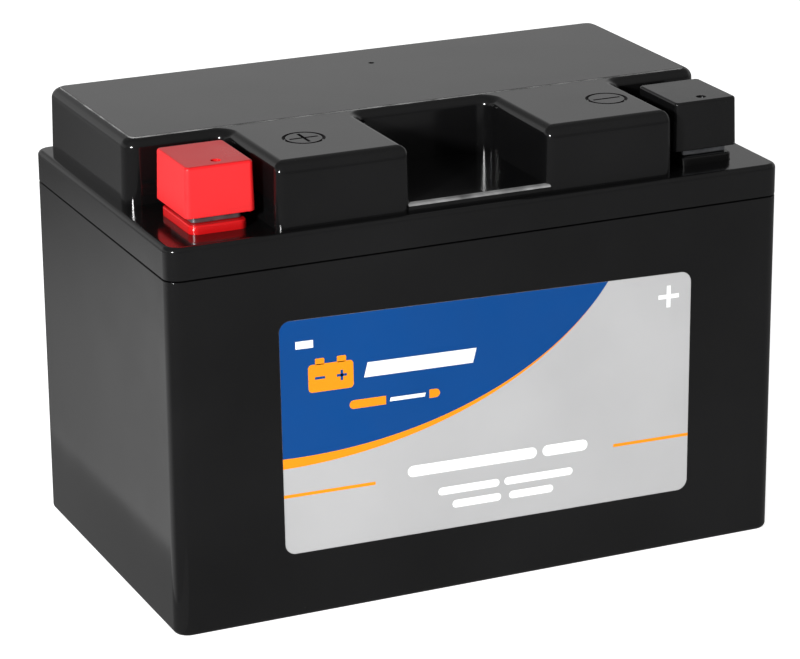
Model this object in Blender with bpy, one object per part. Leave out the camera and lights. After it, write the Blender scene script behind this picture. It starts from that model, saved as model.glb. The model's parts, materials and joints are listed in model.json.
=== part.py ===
"""Motorcycle battery: 12 V sealed lead-acid, six cells in a row, 150 x 88 x 105 mm.

X runs along the long side, with the positive terminal at -X. -Y is the front, where the terminals
and the label are. The origin is the middle of the underside. Touching pieces keep a gap of GAP.
"""

import math

import bmesh
import bpy
from mathutils import Matrix, Vector

MM = 0.001
GAP = 0.3 * MM
OVERLAP = 1.0 * MM  # how far a cutter or a joined shape reaches past the face it meets

# Outside of the case
LENGTH = 150.0 * MM
DEPTH = 88.0 * MM
HEIGHT = 105.0 * MM
SEAM_Z = 82.5 * MM  # the welded joint between jar and cover
LEDGE_Z = 90.0 * MM  # flat top of the cover's skirt
CASE_CORNER = 3.5 * MM
BASE_FILLET = 1.2 * MM
SKIRT_FILLET = 1.2 * MM

# Raised part of the cover: a rear block and two front blocks
RAISED_Z = 104.4 * MM
REAR_HALF_X = 71.8 * MM
REAR_FRONT_Y = -10.6 * MM
REAR_BACK_Y = 43.0 * MM
BLOCK_INNER_X = 16.4 * MM
BLOCK_OUTER_X = 48.6 * MM
BLOCK_FRONT_Y = -41.4 * MM
REAR_CORNER = 4.0 * MM
BLOCK_CORNER = 2.4 * MM
INNER_CORNER = 3.0 * MM
RAISED_DRAFT = 0.3 * MM
RAISED_FILLET = 1.6 * MM
LIP_Z = 91.8 * MM  # floor of the recess between the front blocks
LIP_FILLET = 0.8 * MM

# Walls and cells
WALL = 2.6 * MM
FLOOR = 2.8 * MM
PARTITION = 1.6 * MM
COVER_WALL = 2.4 * MM
CELLS = 6
CELL_WIDTH = (LENGTH - 2 * WALL - (CELLS - 1) * PARTITION) / CELLS
CELL_PITCH = CELL_WIDTH + PARTITION
CELL_HALF_Y = DEPTH / 2 - WALL

# Valve tray under the top plate
TRAY_Z = 96.0 * MM
TRAY_WALL = 4.7 * MM
TRAY_BACK_Y = 24.4 * MM  # behind this the tray's floor steps up to the shelf
SHELF_Z = 100.6 * MM
PLATE_SEAT_Z = 103.4 * MM
PLATE_INSET = RAISED_DRAFT + RAISED_FILLET + 0.2 * MM
PLATE_EDGE = 0.4 * MM
VALVE_PITCH = 23.2 * MM  # a little under the cell pitch, so that the end valves clear the tray
CHIMNEY_Y = 15.0 * MM
CHIMNEY_TOP_Z = 99.6 * MM
CHIMNEY_RADIUS = 6.3 * MM
CHIMNEY_BORE = 4.5 * MM
VALVE_WALL = 1.2 * MM
VALVE_LIFT = 0.6 * MM
STOP_RADIUS = 2.5 * MM
VENT = (4.5 * MM, 28.0 * MM)
VENT_RADIUS = 0.7 * MM
FILTER_RADIUS = 5.0 * MM
FILTER_THICKNESS = 2.2 * MM
FILTER_RING_WALL = 1.0 * MM

# Terminals, their seals and their covers
TERMINAL_X = 59.9 * MM
TERMINAL_Y = -27.9 * MM
TERMINAL_SIZE = (11.6 * MM, 14.0 * MM)
TERMINAL_TOP_Z = 100.3 * MM
TERMINAL_CORNER = 1.0 * MM
SEAL_Y = -27.2 * MM
SEAL_SIZE = (13.4 * MM, 18.6 * MM)
SEAL_CORNER = 2.0 * MM
SEAL_TOP_Z = 92.0 * MM
SEAL_WELL_Z = 89.0 * MM
POST_Y = -27.5 * MM
POST_RADIUS = 4.0 * MM
POST_BOTTOM_Z = 76.3 * MM
BOSS_RADIUS = 6.6 * MM
BOSS_BOTTOM_Z = 84.0 * MM
NUT_SIZE = 8.0 * MM
NUT_THICKNESS = 3.4 * MM
NUT_Z = 94.6 * MM
SCREW_Y = -26.8 * MM
SCREW_RADIUS = 2.5 * MM
SCREW_HEAD_RADIUS = 4.6 * MM
SCREW_HEAD = 2.6 * MM
SCREW_TIP_Z = 94.2 * MM
CAP_X = 59.8 * MM
CAP_Y = -27.1 * MM
CAP_SIZE = (15.4 * MM, 18.8 * MM)
CAP_BOTTOM_Z = 93.4 * MM
CAP_TOP_Z = 104.8 * MM
CAP_WALL = 1.1 * MM
CAP_CORNER = 1.2 * MM
CAP_FILLET = 0.8 * MM
CAP_NOTCH = 1.3 * MM

# Label on the front of the jar
LABEL_SIZE = (101.8 * MM, 53.2 * MM)
LABEL_CENTRE = (1.2 * MM, 42.2 * MM)
LABEL_TILT = math.radians(1.3)
LABEL_CORNER = 2.5 * MM
LABEL_THICKNESS = 0.25 * MM
LABEL_RECESS = 0.55 * MM

# Polarity marks engraved on the front blocks
MARK_Y = -21.6 * MM
PLUS_X = -34.1 * MM
MINUS_X = 40.9 * MM
MARK_RADIUS = 4.8 * MM
MARK_STROKE = 0.7 * MM
MARK_BAR = 3.0 * MM
MARK_DEPTH = 0.4 * MM

# Plates inside each cell
PLATE_BOTTOM_Z = 4.0 * MM
PLATE_TOP_Z = 64.0 * MM
PLATE_HALF_Y = 40.2 * MM
NEGATIVE_PLATES = 5
POSITIVE_PLATES = 4
NEGATIVE_THICKNESS = 1.3 * MM
POSITIVE_THICKNESS = 1.7 * MM
STACK_HALF_X = 11.0 * MM
SEPARATOR_THICKNESS = 0.48 * MM
SEPARATOR_RISE = 1.6 * MM
LUG_HALF_Y = 4.5 * MM
STRAP_Y = 27.5 * MM
STRAP_HALF_Y = 6.0 * MM
STRAP_BOTTOM_Z = 68.0 * MM
STRAP_TOP_Z = 72.0 * MM
RISER_THICKNESS = 3.0 * MM
RISER_HALF_Y = 5.0 * MM
RISER_TOP_Z = 81.0 * MM
WELD_Z = 77.0 * MM
WELD_RADIUS = 3.3 * MM

ARC_STEPS = 5
ROUND = 24
SMALL_ROUND = 16

COLOURS = {
    "case_plastic": ((0.012, 0.012, 0.013), 0.25, 0.0),
    "cover_plastic": ((0.012, 0.012, 0.013), 0.22, 0.0),
    "red_cap": ((0.70, 0.015, 0.020), 0.35, 0.0),
    "black_cap": ((0.015, 0.015, 0.016), 0.30, 0.0),
    "red_resin": ((0.55, 0.008, 0.012), 0.30, 0.0),
    "black_resin": ((0.010, 0.010, 0.010), 0.30, 0.0),
    "lead": ((0.36, 0.37, 0.39), 0.45, 1.0),
    "steel": ((0.62, 0.62, 0.64), 0.25, 1.0),
    "label_film": ((0.45, 0.46, 0.48), 0.35, 0.0),
    "valve_rubber": ((0.020, 0.020, 0.020), 0.80, 0.0),
    "sintered_disc": ((0.75, 0.75, 0.72), 0.90, 0.0),
    "positive_paste": ((0.120, 0.050, 0.030), 0.85, 0.0),
    "negative_paste": ((0.230, 0.240, 0.250), 0.70, 0.3),
    "glass_mat": ((0.86, 0.86, 0.84), 0.95, 0.0),
}


# ---------------------------------------------------------------- general tools


def clear_scene():
    for obj in list(bpy.data.objects):
        bpy.data.objects.remove(obj, do_unlink=True)


def get_material(slot):
    if slot in bpy.data.materials:
        return bpy.data.materials[slot]
    colour, roughness, metallic = COLOURS[slot]
    mat = bpy.data.materials.new(slot)
    mat.use_nodes = True
    shader = mat.node_tree.nodes["Principled BSDF"]
    shader.inputs["Base Color"].default_value = (*colour, 1.0)
    shader.inputs["Roughness"].default_value = roughness
    shader.inputs["Metallic"].default_value = metallic
    mat.diffuse_color = (*colour, 1.0)
    return mat


def make_object(name, bm, slot=None, location=(0, 0, 0)):
    """An object from a bmesh. Without a material slot it is a helper that stays out of the model."""
    bmesh.ops.recalc_face_normals(bm, faces=bm.faces)
    mesh = bpy.data.meshes.new(name)
    bm.to_mesh(mesh)
    bm.free()
    mesh.shade_smooth()
    mesh.set_sharp_from_angle(angle=math.radians(35))
    obj = bpy.data.objects.new(name, mesh)
    obj.location = location
    bpy.context.scene.collection.objects.link(obj)
    if slot:
        mesh.materials.append(get_material(slot))
    else:
        obj.hide_render = True
        obj.display_type = "WIRE"
    return obj


def combine(target, tool, operation):
    modifier = target.modifiers.new(tool.name, "BOOLEAN")
    modifier.operation = operation
    modifier.solver = "EXACT"
    modifier.object = tool


def cut(target, tool):
    combine(target, tool, "DIFFERENCE")


def weld(target, tool):
    combine(target, tool, "UNION")


def add_box(bm, low, high):
    size = Vector(high) - Vector(low)
    centre = (Vector(high) + Vector(low)) / 2
    matrix = Matrix.Translation(centre) @ Matrix.Diagonal((*size, 1.0))
    bmesh.ops.create_cube(bm, size=1.0, matrix=matrix)


def add_rod(bm, radius, start, end, segments=ROUND):
    """A round bar from start to end."""
    start = Vector(start)
    along = Vector(end) - start
    turn = Vector((0, 0, 1)).rotation_difference(along).to_matrix().to_4x4()
    bmesh.ops.create_cone(
        bm,
        cap_ends=True,
        segments=segments,
        radius1=radius,
        radius2=radius,
        depth=along.length,
        matrix=Matrix.Translation(start + along / 2) @ turn,
    )


def add_loft(bm, rings):
    """A closed skin through rings that have the same number of points, with both ends filled."""
    loops = [[bm.verts.new(point) for point in ring] for ring in rings]
    count = len(loops[0])
    for lower, upper in zip(loops, loops[1:]):
        for i in range(count):
            j = (i + 1) % count
            bm.faces.new((lower[i], lower[j], upper[j], upper[i]))
    bm.faces.new(list(reversed(loops[0])))
    bm.faces.new(loops[-1])


def add_lathe(bm, profile, centre=(0, 0), segments=ROUND):
    """Turns (radius, z) points about a vertical axis. The profile is a closed loop off the axis."""
    rings = []
    for radius, z in profile:
        ring = []
        for k in range(segments):
            angle = 2 * math.pi * k / segments
            x = centre[0] + radius * math.cos(angle)
            y = centre[1] + radius * math.sin(angle)
            ring.append(bm.verts.new((x, y, z)))
        rings.append(ring)
    for ring, following in zip(rings, rings[1:] + rings[:1]):
        for k in range(segments):
            j = (k + 1) % segments
            bm.faces.new((ring[k], ring[j], following[j], following[k]))


def rectangle(width, depth, radius, centre=(0, 0)):
    """Corners of an upright rectangle, anticlockwise, as (x, y, corner radius)."""
    x, y = centre
    half_x = width / 2
    half_y = depth / 2
    return [
        (x - half_x, y - half_y, radius),
        (x + half_x, y - half_y, radius),
        (x + half_x, y + half_y, radius),
        (x - half_x, y + half_y, radius),
    ]


def turns_left(before, corner, after):
    first = corner - before
    second = after - corner
    return first.x * second.y - first.y * second.x > 0


def inset_corners(corners, amount):
    """The same anticlockwise outline moved inwards, with its corner arcs kept concentric."""
    result = []
    count = len(corners)
    for i, (x, y, radius) in enumerate(corners):
        corner = Vector((x, y))
        before = Vector(corners[i - 1][:2])
        after = Vector(corners[(i + 1) % count][:2])
        incoming = (corner - before).normalized()
        outgoing = (after - corner).normalized()
        inward = Vector((-incoming.y, incoming.x)) + Vector((-outgoing.y, outgoing.x))
        moved = corner + inward * amount
        change = -amount if turns_left(before, corner, after) else amount
        result.append((moved.x, moved.y, radius + change))
    return result


def outline(corners, z, steps=ARC_STEPS):
    """Points of a right-angled outline with rounded corners at height z."""
    points = []
    count = len(corners)
    for i, (x, y, radius) in enumerate(corners):
        corner = Vector((x, y))
        back = (Vector(corners[i - 1][:2]) - corner).normalized()
        ahead = (Vector(corners[(i + 1) % count][:2]) - corner).normalized()
        centre = corner + (back + ahead) * radius
        for k in range(steps + 1):
            angle = math.pi / 2 * k / steps
            point = centre - ahead * radius * math.cos(angle) - back * radius * math.sin(angle)
            points.append((point.x, point.y, z))
    return points


def top_fillet(z, radius, start_inset=0.0, steps=4):
    """(z, inset) levels that round an upper edge off."""
    angles = [math.pi / 2 * k / steps for k in range(steps + 1)]
    return [
        (z - radius + radius * math.sin(a), start_inset + radius * (1 - math.cos(a)))
        for a in angles
    ]


def bottom_fillet(z, radius, steps=3):
    angles = [math.pi / 2 * k / steps for k in range(steps, -1, -1)]
    return [(z + radius - radius * math.sin(a), radius * (1 - math.cos(a))) for a in angles]


def add_moulding(bm, corners, levels):
    """A solid with one outline, inset by the stated amount at each level."""
    add_loft(bm, [outline(inset_corners(corners, inset), z) for z, inset in levels])


def cell_centre(index):
    return (index - (CELLS - 1) / 2) * CELL_PITCH


def valve_centre(index):
    return (index - (CELLS - 1) / 2) * VALVE_PITCH


def partition_centre(index):
    return cell_centre(index) + CELL_PITCH / 2


# ---------------------------------------------------------------- jar


def jar():
    bm = bmesh.new()
    corners = rectangle(LENGTH, DEPTH, CASE_CORNER)
    levels = bottom_fillet(0.0, BASE_FILLET) + [(SEAM_Z - GAP / 2, 0.0)]
    add_moulding(bm, corners, levels)
    body = make_object("case_jar", bm, "case_plastic")

    bm = bmesh.new()
    for i in range(CELLS):
        x = cell_centre(i)
        low = (x - CELL_WIDTH / 2, -CELL_HALF_Y, FLOOR)
        high = (x + CELL_WIDTH / 2, CELL_HALF_Y, SEAM_Z + OVERLAP)
        add_box(bm, low, high)
    cut(body, make_object("jar_cells_cutter", bm))

    bm = bmesh.new()
    for i in range(CELLS - 1):
        x = partition_centre(i)
        y = link_y(i)
        reach = PARTITION / 2 + OVERLAP
        start = (x - reach, y, WELD_Z)
        add_rod(bm, WELD_RADIUS + GAP, start, (x + reach, y, WELD_Z), SMALL_ROUND)
    cut(body, make_object("weld_windows_cutter", bm))

    recess = label_solid(LABEL_RECESS + OVERLAP, LABEL_SIZE, GAP)
    recess.location.y = -DEPTH / 2 + LABEL_RECESS
    cut(body, recess)


def label_solid(thickness, size, margin=0.0, name="label_recess_cutter", slot=None):
    """The label's outline as an upright sheet: its back face is at the object's own y = 0."""
    bm = bmesh.new()
    width = size[0] + 2 * margin
    height = size[1] + 2 * margin
    corners = rectangle(width, height, LABEL_CORNER + margin)
    add_loft(bm, [outline(corners, 0.0), outline(corners, thickness)])
    upright = Matrix.Rotation(math.pi / 2, 4, "X")
    tilt = Matrix.Rotation(LABEL_TILT, 4, "Y")
    bmesh.ops.transform(bm, matrix=tilt @ upright, verts=bm.verts)
    sheet = make_object(name, bm, slot)
    sheet.location = (LABEL_CENTRE[0], 0.0, LABEL_CENTRE[1])
    return sheet


def label():
    sheet = label_solid(LABEL_THICKNESS, LABEL_SIZE, 0.0, "front_label", "label_film")
    sheet.location.y = -DEPTH / 2 + LABEL_THICKNESS


# ---------------------------------------------------------------- cover


def raised_corners():
    """Plan of the raised part, anticlockwise from the front left corner of the rear block."""
    left_and_right = [
        (-BLOCK_OUTER_X, REAR_FRONT_Y, INNER_CORNER),
        (-BLOCK_OUTER_X, BLOCK_FRONT_Y, BLOCK_CORNER),
        (-BLOCK_INNER_X, BLOCK_FRONT_Y, BLOCK_CORNER),
        (-BLOCK_INNER_X, REAR_FRONT_Y, INNER_CORNER),
    ]
    mirrored = [(-x, y, radius) for x, y, radius in reversed(left_and_right)]
    front_left = (-REAR_HALF_X, REAR_FRONT_Y, REAR_CORNER)
    rest = [
        (REAR_HALF_X, REAR_FRONT_Y, REAR_CORNER),
        (REAR_HALF_X, REAR_BACK_Y, REAR_CORNER),
        (-REAR_HALF_X, REAR_BACK_Y, REAR_CORNER),
    ]
    return [front_left] + left_and_right + mirrored + rest


def rear_corners(inset):
    """Plan of the rear block alone, moved inwards."""
    depth = REAR_BACK_Y - REAR_FRONT_Y
    middle = (REAR_FRONT_Y + REAR_BACK_Y) / 2
    return inset_corners(rectangle(2 * REAR_HALF_X, depth, REAR_CORNER, (0, middle)), inset)


def cover_outside():
    bm = bmesh.new()
    levels = [(SEAM_Z + GAP / 2, 0.0)] + top_fillet(LEDGE_Z, SKIRT_FILLET)
    add_moulding(bm, rectangle(LENGTH, DEPTH, CASE_CORNER), levels)
    body = make_object("cover", bm, "cover_plastic")

    bm = bmesh.new()
    levels = [(LEDGE_Z - OVERLAP, 0.0)] + top_fillet(RAISED_Z, RAISED_FILLET, RAISED_DRAFT)
    add_moulding(bm, raised_corners(), levels)
    weld(body, make_object("raised_part_form", bm))

    bm = bmesh.new()
    half_x = BLOCK_INNER_X + OVERLAP
    front = BLOCK_FRONT_Y
    back = REAR_FRONT_Y + OVERLAP
    angles = [math.pi / 2 * k / 4 for k in range(5)]
    profile = [(front, LEDGE_Z - OVERLAP)]
    for a in angles:
        y = front + LIP_FILLET * (1 - math.cos(a))
        profile.append((y, LIP_Z - LIP_FILLET + LIP_FILLET * math.sin(a)))
    profile += [(back, LIP_Z), (back, LEDGE_Z - OVERLAP)]
    add_loft(bm, [[(side, y, z) for y, z in profile] for side in (-half_x, half_x)])
    weld(body, make_object("recess_floor_form", bm))
    return body


def hollow_cover(body):
    """Opens each cell upwards into the skirt, the rear block and the front blocks."""
    skirt = bmesh.new()
    rear = bmesh.new()
    back = bmesh.new()
    front = bmesh.new()
    tray_floor_z = TRAY_Z - COVER_WALL
    wall_y = REAR_FRONT_Y + COVER_WALL
    back_y = REAR_BACK_Y - COVER_WALL
    for i in range(CELLS):
        left = cell_centre(i) - CELL_WIDTH / 2
        right = left + CELL_WIDTH
        low = (left, -CELL_HALF_Y, SEAM_Z - OVERLAP)
        add_box(skirt, low, (right, CELL_HALF_Y, LEDGE_Z - COVER_WALL))
        inner_left = max(left, -REAR_HALF_X + COVER_WALL)
        inner_right = min(right, REAR_HALF_X - COVER_WALL)
        low = (inner_left, wall_y, LEDGE_Z - 2 * COVER_WALL)
        add_box(rear, low, (inner_right, back_y, tray_floor_z))
        low = (inner_left, TRAY_BACK_Y + COVER_WALL, LEDGE_Z)
        add_box(back, low, (inner_right, back_y, SHELF_Z - COVER_WALL))
        for side in (-1, 1):
            inner = BLOCK_INNER_X + COVER_WALL
            outer = BLOCK_OUTER_X - COVER_WALL
            block_left = max(left, inner if side > 0 else -outer)
            block_right = min(right, outer if side > 0 else -inner)
            if block_right - block_left > COVER_WALL:
                low = (block_left, BLOCK_FRONT_Y + COVER_WALL, LEDGE_Z - 2 * COVER_WALL)
                high = (block_right, REAR_FRONT_Y, RAISED_Z - COVER_WALL)
                add_box(front, low, high)
    cut(body, make_object("skirt_space_cutter", skirt))
    cut(body, make_object("rear_space_cutter", rear))
    cut(body, make_object("back_space_cutter", back))
    cut(body, make_object("block_space_cutter", front))


def cut_valve_tray(body):
    top = HEIGHT + OVERLAP
    bm = bmesh.new()
    corners = [(x, y, BLOCK_CORNER) for x, y, _ in rear_corners(TRAY_WALL)]
    add_loft(bm, [outline(corners, SHELF_Z), outline(corners, top)])
    cut(body, make_object("shelf_cutter", bm))

    bm = bmesh.new()
    corners = [(x, min(y, TRAY_BACK_Y), radius) for x, y, radius in corners]
    add_loft(bm, [outline(corners, TRAY_Z), outline(corners, top)])
    cut(body, make_object("tray_cutter", bm))

    bm = bmesh.new()
    corners = rear_corners(PLATE_INSET)
    add_loft(bm, [outline(corners, PLATE_SEAT_Z), outline(corners, top)])
    cut(body, make_object("plate_seat_cutter", bm))

    chimneys = bmesh.new()
    bores = bmesh.new()
    for i in range(CELLS):
        x = valve_centre(i)
        start = (x, CHIMNEY_Y, TRAY_Z - OVERLAP)
        add_rod(chimneys, CHIMNEY_RADIUS, start, (x, CHIMNEY_Y, CHIMNEY_TOP_Z))
        start = (x, CHIMNEY_Y, TRAY_Z - COVER_WALL - OVERLAP)
        end = (x, CHIMNEY_Y, CHIMNEY_TOP_Z + OVERLAP)
        add_rod(bores, CHIMNEY_BORE, start, end)
    weld(body, make_object("chimneys_form", chimneys))
    cut(body, make_object("chimney_bores_cutter", bores))


def cut_terminal_seats(body):
    bosses = bmesh.new()
    wells = bmesh.new()
    holes = bmesh.new()
    for side in (-1, 1):
        x = side * TERMINAL_X
        add_rod(
            bosses, BOSS_RADIUS, (x, POST_Y, BOSS_BOTTOM_Z), (x, POST_Y, SEAL_WELL_Z - GAP)
        )
        width = SEAL_SIZE[0] + 2 * GAP
        depth = SEAL_SIZE[1] + 2 * GAP
        corners = rectangle(width, depth, SEAL_CORNER + GAP, (x, SEAL_Y))
        add_loft(wells, [outline(corners, SEAL_WELL_Z), outline(corners, LEDGE_Z + OVERLAP)])
        start = (x, POST_Y, BOSS_BOTTOM_Z - OVERLAP)
        add_rod(holes, POST_RADIUS + GAP, start, (x, POST_Y, LEDGE_Z))
    weld(body, make_object("post_bosses_form", bosses))
    cut(body, make_object("seal_wells_cutter", wells))
    cut(body, make_object("post_holes_cutter", holes))


def engrave_marks(body):
    """A ring with a plus sign on the left block, and one with a minus sign on the right block."""
    bottom = RAISED_Z - MARK_DEPTH
    top = RAISED_Z + OVERLAP
    bm = bmesh.new()
    for x in (PLUS_X, MINUS_X):
        inner = MARK_RADIUS - MARK_STROKE
        profile = [(inner, bottom), (MARK_RADIUS, bottom), (MARK_RADIUS, top), (inner, top)]
        add_lathe(bm, profile, (x, MARK_Y))
    add_prism(bm, cross_points(MARK_BAR, MARK_STROKE, (PLUS_X, MARK_Y)), bottom, top)
    half = MARK_STROKE / 2
    low = (MINUS_X - MARK_BAR, MARK_Y - half, bottom)
    add_box(bm, low, (MINUS_X + MARK_BAR, MARK_Y + half, top))
    cut(body, make_object("marks_cutter", bm))


def cross_points(reach, stroke, centre):
    """A plus sign as a twelve-sided outline."""
    half = stroke / 2
    quarter = [(reach, -half), (reach, half), (half, half)]
    points = []
    for k in range(4):
        cos = round(math.cos(math.pi / 2 * k))
        sin = round(math.sin(math.pi / 2 * k))
        for x, y in quarter:
            points.append((centre[0] + x * cos - y * sin, centre[1] + x * sin + y * cos))
    return points


def add_prism(bm, points, bottom, top):
    add_loft(bm, [[(x, y, z) for x, y in points] for z in (bottom, top)])


def cover():
    body = cover_outside()
    hollow_cover(body)
    cut_valve_tray(body)
    cut_terminal_seats(body)
    engrave_marks(body)


# ---------------------------------------------------------------- top plate and valves


def top_plate():
    underside = PLATE_SEAT_Z + GAP
    bm = bmesh.new()
    levels = [(underside, 0.0)] + top_fillet(HEIGHT, PLATE_EDGE, steps=2)
    add_moulding(bm, rear_corners(PLATE_INSET + GAP), levels)
    plate = make_object("top_plate", bm, "cover_plastic")

    stops = bmesh.new()
    stop_z = valve_top_z() + VALVE_LIFT + GAP
    for i in range(CELLS):
        x = valve_centre(i)
        start = (x, CHIMNEY_Y, stop_z)
        add_rod(stops, STOP_RADIUS, start, (x, CHIMNEY_Y, underside + GAP), SMALL_ROUND)
    weld(plate, make_object("valve_stops_form", stops))

    ring = bmesh.new()
    inner = FILTER_RADIUS + GAP
    outer = inner + FILTER_RING_WALL
    low = underside - FILTER_THICKNESS - GAP
    high = underside + GAP
    add_lathe(ring, [(inner, low), (outer, low), (outer, high), (inner, high)], VENT)
    weld(plate, make_object("filter_ring_form", ring))

    hole = bmesh.new()
    start = (*VENT, underside - GAP)
    add_rod(hole, VENT_RADIUS, start, (*VENT, HEIGHT + OVERLAP), SMALL_ROUND)
    cut(plate, make_object("vent_hole_cutter", hole))


def vent_filter():
    bm = bmesh.new()
    top = PLATE_SEAT_Z
    add_rod(bm, FILTER_RADIUS, (0, 0, -FILTER_THICKNESS), (0, 0, 0))
    make_object("vent_flame_arrestor", bm, "sintered_disc", (*VENT, top))


def valve_top_z():
    return CHIMNEY_TOP_Z + GAP + VALVE_WALL


def valve_caps():
    """A rubber cup over each chimney. It lifts off its seat when a cell gives off gas."""
    outer = CHIMNEY_RADIUS + GAP + VALVE_WALL
    bottom = TRAY_Z + GAP
    for i in range(CELLS):
        bm = bmesh.new()
        add_rod(bm, outer, (0, 0, 0), (0, 0, valve_top_z() - bottom))
        location = (valve_centre(i), CHIMNEY_Y, bottom)
        cap = make_object(f"valve_cap_{i + 1}", bm, "valve_rubber", location)
        bm = bmesh.new()
        roof = CHIMNEY_TOP_Z + GAP - bottom
        add_rod(bm, CHIMNEY_RADIUS + GAP, (0, 0, -OVERLAP), (0, 0, roof))
        hollow = make_object(f"valve_hollow_cutter_{i + 1}", bm, None, location)
        cut(cap, hollow)


# ---------------------------------------------------------------- terminals


def terminal(side, polarity):
    """A lead block with a nut slot open to the back, on a post that goes down into its cell."""
    x = side * TERMINAL_X
    bottom = SEAL_TOP_Z + GAP
    bm = bmesh.new()
    corners = rectangle(*TERMINAL_SIZE, TERMINAL_CORNER, (0, TERMINAL_Y - POST_Y))
    levels = [(bottom, 0.0)] + top_fillet(TERMINAL_TOP_Z, TERMINAL_CORNER / 2, steps=2)
    add_moulding(bm, corners, levels)
    block = make_object(f"terminal_{polarity}", bm, "lead", (x, POST_Y, 0))

    bm = bmesh.new()
    add_rod(bm, POST_RADIUS, (0, 0, POST_BOTTOM_Z), (0, 0, bottom + OVERLAP))
    weld(block, make_object(f"post_form_{polarity}", bm, None, (x, POST_Y, 0)))

    bm = bmesh.new()
    half = NUT_SIZE / 2 + GAP
    screw_y = SCREW_Y - POST_Y
    low = (-half, screw_y - half, NUT_Z - GAP)
    high = (half, TERMINAL_SIZE[1], NUT_Z + NUT_THICKNESS + GAP)
    add_box(bm, low, high)
    cut(block, make_object(f"nut_slot_cutter_{polarity}", bm, None, (x, POST_Y, 0)))

    bm = bmesh.new()
    radius = SCREW_RADIUS + GAP
    start = (0, screw_y, SCREW_TIP_Z - GAP)
    add_rod(bm, radius, start, (0, screw_y, TERMINAL_TOP_Z + OVERLAP), SMALL_ROUND)
    cut(block, make_object(f"screw_hole_cutter_{polarity}", bm, None, (x, POST_Y, 0)))

    bm = bmesh.new()
    hole_z = NUT_Z + NUT_THICKNESS / 2
    start = (0, -TERMINAL_SIZE[1], hole_z)
    add_rod(bm, NUT_THICKNESS / 2, start, (0, screw_y - half + GAP, hole_z), SMALL_ROUND)
    cut(block, make_object(f"front_hole_cutter_{polarity}", bm, None, (x, POST_Y, 0)))


def terminal_seal(side, polarity, slot):
    """The coloured resin poured round the terminal's foot."""
    x = side * TERMINAL_X
    bm = bmesh.new()
    levels = [(SEAL_WELL_Z + GAP, 0.0)] + top_fillet(SEAL_TOP_Z, GAP, steps=2)
    add_moulding(bm, rectangle(*SEAL_SIZE, SEAL_CORNER), levels)
    pad = make_object(f"terminal_seal_{polarity}", bm, slot, (x, SEAL_Y, 0))
    bm = bmesh.new()
    offset = POST_Y - SEAL_Y
    start = (0, offset, SEAL_WELL_Z)
    add_rod(bm, POST_RADIUS + GAP, start, (0, offset, SEAL_TOP_Z + OVERLAP))
    cut(pad, make_object(f"seal_hole_cutter_{polarity}", bm, None, (x, SEAL_Y, 0)))


def terminal_nut(side, polarity):
    location = (side * TERMINAL_X, SCREW_Y, NUT_Z)
    half = NUT_SIZE / 2
    bm = bmesh.new()
    add_box(bm, (-half, -half, 0), (half, half, NUT_THICKNESS))
    nut = make_object(f"terminal_nut_{polarity}", bm, "steel", location)
    bm = bmesh.new()
    start = (0, 0, -OVERLAP)
    add_rod(bm, SCREW_RADIUS + GAP, start, (0, 0, NUT_THICKNESS + OVERLAP), SMALL_ROUND)
    cut(nut, make_object(f"nut_hole_cutter_{polarity}", bm, None, location))


def terminal_screw(side, polarity):
    """A pan-head screw with a cross recess, standing in its nut."""
    seat = TERMINAL_TOP_Z + GAP
    location = (side * TERMINAL_X, SCREW_Y, seat)
    edge = SCREW_HEAD / 4
    bm = bmesh.new()
    rings = []
    profile = [
        (SCREW_RADIUS - edge, SCREW_TIP_Z - seat),
        (SCREW_RADIUS, SCREW_TIP_Z - seat + edge),
        (SCREW_RADIUS, 0.0),
        (SCREW_HEAD_RADIUS, 0.0),
        (SCREW_HEAD_RADIUS, SCREW_HEAD - edge),
        (SCREW_HEAD_RADIUS - edge, SCREW_HEAD),
    ]
    for radius, z in profile:
        angles = [2 * math.pi * k / SMALL_ROUND for k in range(SMALL_ROUND)]
        rings.append([(radius * math.cos(a), radius * math.sin(a), z) for a in angles])
    add_loft(bm, rings)
    screw = make_object(f"terminal_screw_{polarity}", bm, "steel", location)
    bm = bmesh.new()
    reach = SCREW_HEAD_RADIUS / 2
    bottom = SCREW_HEAD / 2
    add_prism(bm, cross_points(reach, edge * 2, (0, 0)), bottom, SCREW_HEAD + OVERLAP)
    cut(screw, make_object(f"cross_recess_cutter_{polarity}", bm, None, location))


def terminal_cover(side, polarity, slot):
    """A push-on cap, open at the bottom, with a small finger notch in its front top edge."""
    location = (side * CAP_X, CAP_Y, CAP_BOTTOM_Z)
    height = CAP_TOP_Z - CAP_BOTTOM_Z
    draft = GAP
    bm = bmesh.new()
    levels = [(0.0, 0.0)] + top_fillet(height, CAP_FILLET, draft, steps=3)
    add_moulding(bm, rectangle(*CAP_SIZE, CAP_CORNER + CAP_FILLET), levels)
    cap = make_object(f"terminal_cover_{polarity}", bm, slot, location)

    bm = bmesh.new()
    width = CAP_SIZE[0] - 2 * CAP_WALL
    depth = CAP_SIZE[1] - 2 * CAP_WALL
    corners = rectangle(width, depth, CAP_CORNER - draft)
    roof = TERMINAL_TOP_Z + GAP + SCREW_HEAD + GAP - CAP_BOTTOM_Z
    add_loft(bm, [outline(corners, -OVERLAP), outline(inset_corners(corners, draft), roof)])
    cut(cap, make_object(f"cap_hollow_cutter_{polarity}", bm, None, location))

    bm = bmesh.new()
    front = -CAP_SIZE[1] / 2 + draft
    start = (0, front + CAP_FILLET, height - CAP_FILLET / 4)
    add_rod(bm, CAP_NOTCH, start, (0, front + CAP_FILLET, height + OVERLAP), SMALL_ROUND)
    cut(cap, make_object(f"notch_cutter_{polarity}", bm, None, location))


# ---------------------------------------------------------------- cells


def link_y(index):
    """Where the link through a partition sits: at the back and the front in turn."""
    return STRAP_Y if index % 2 == 0 else -STRAP_Y


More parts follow.
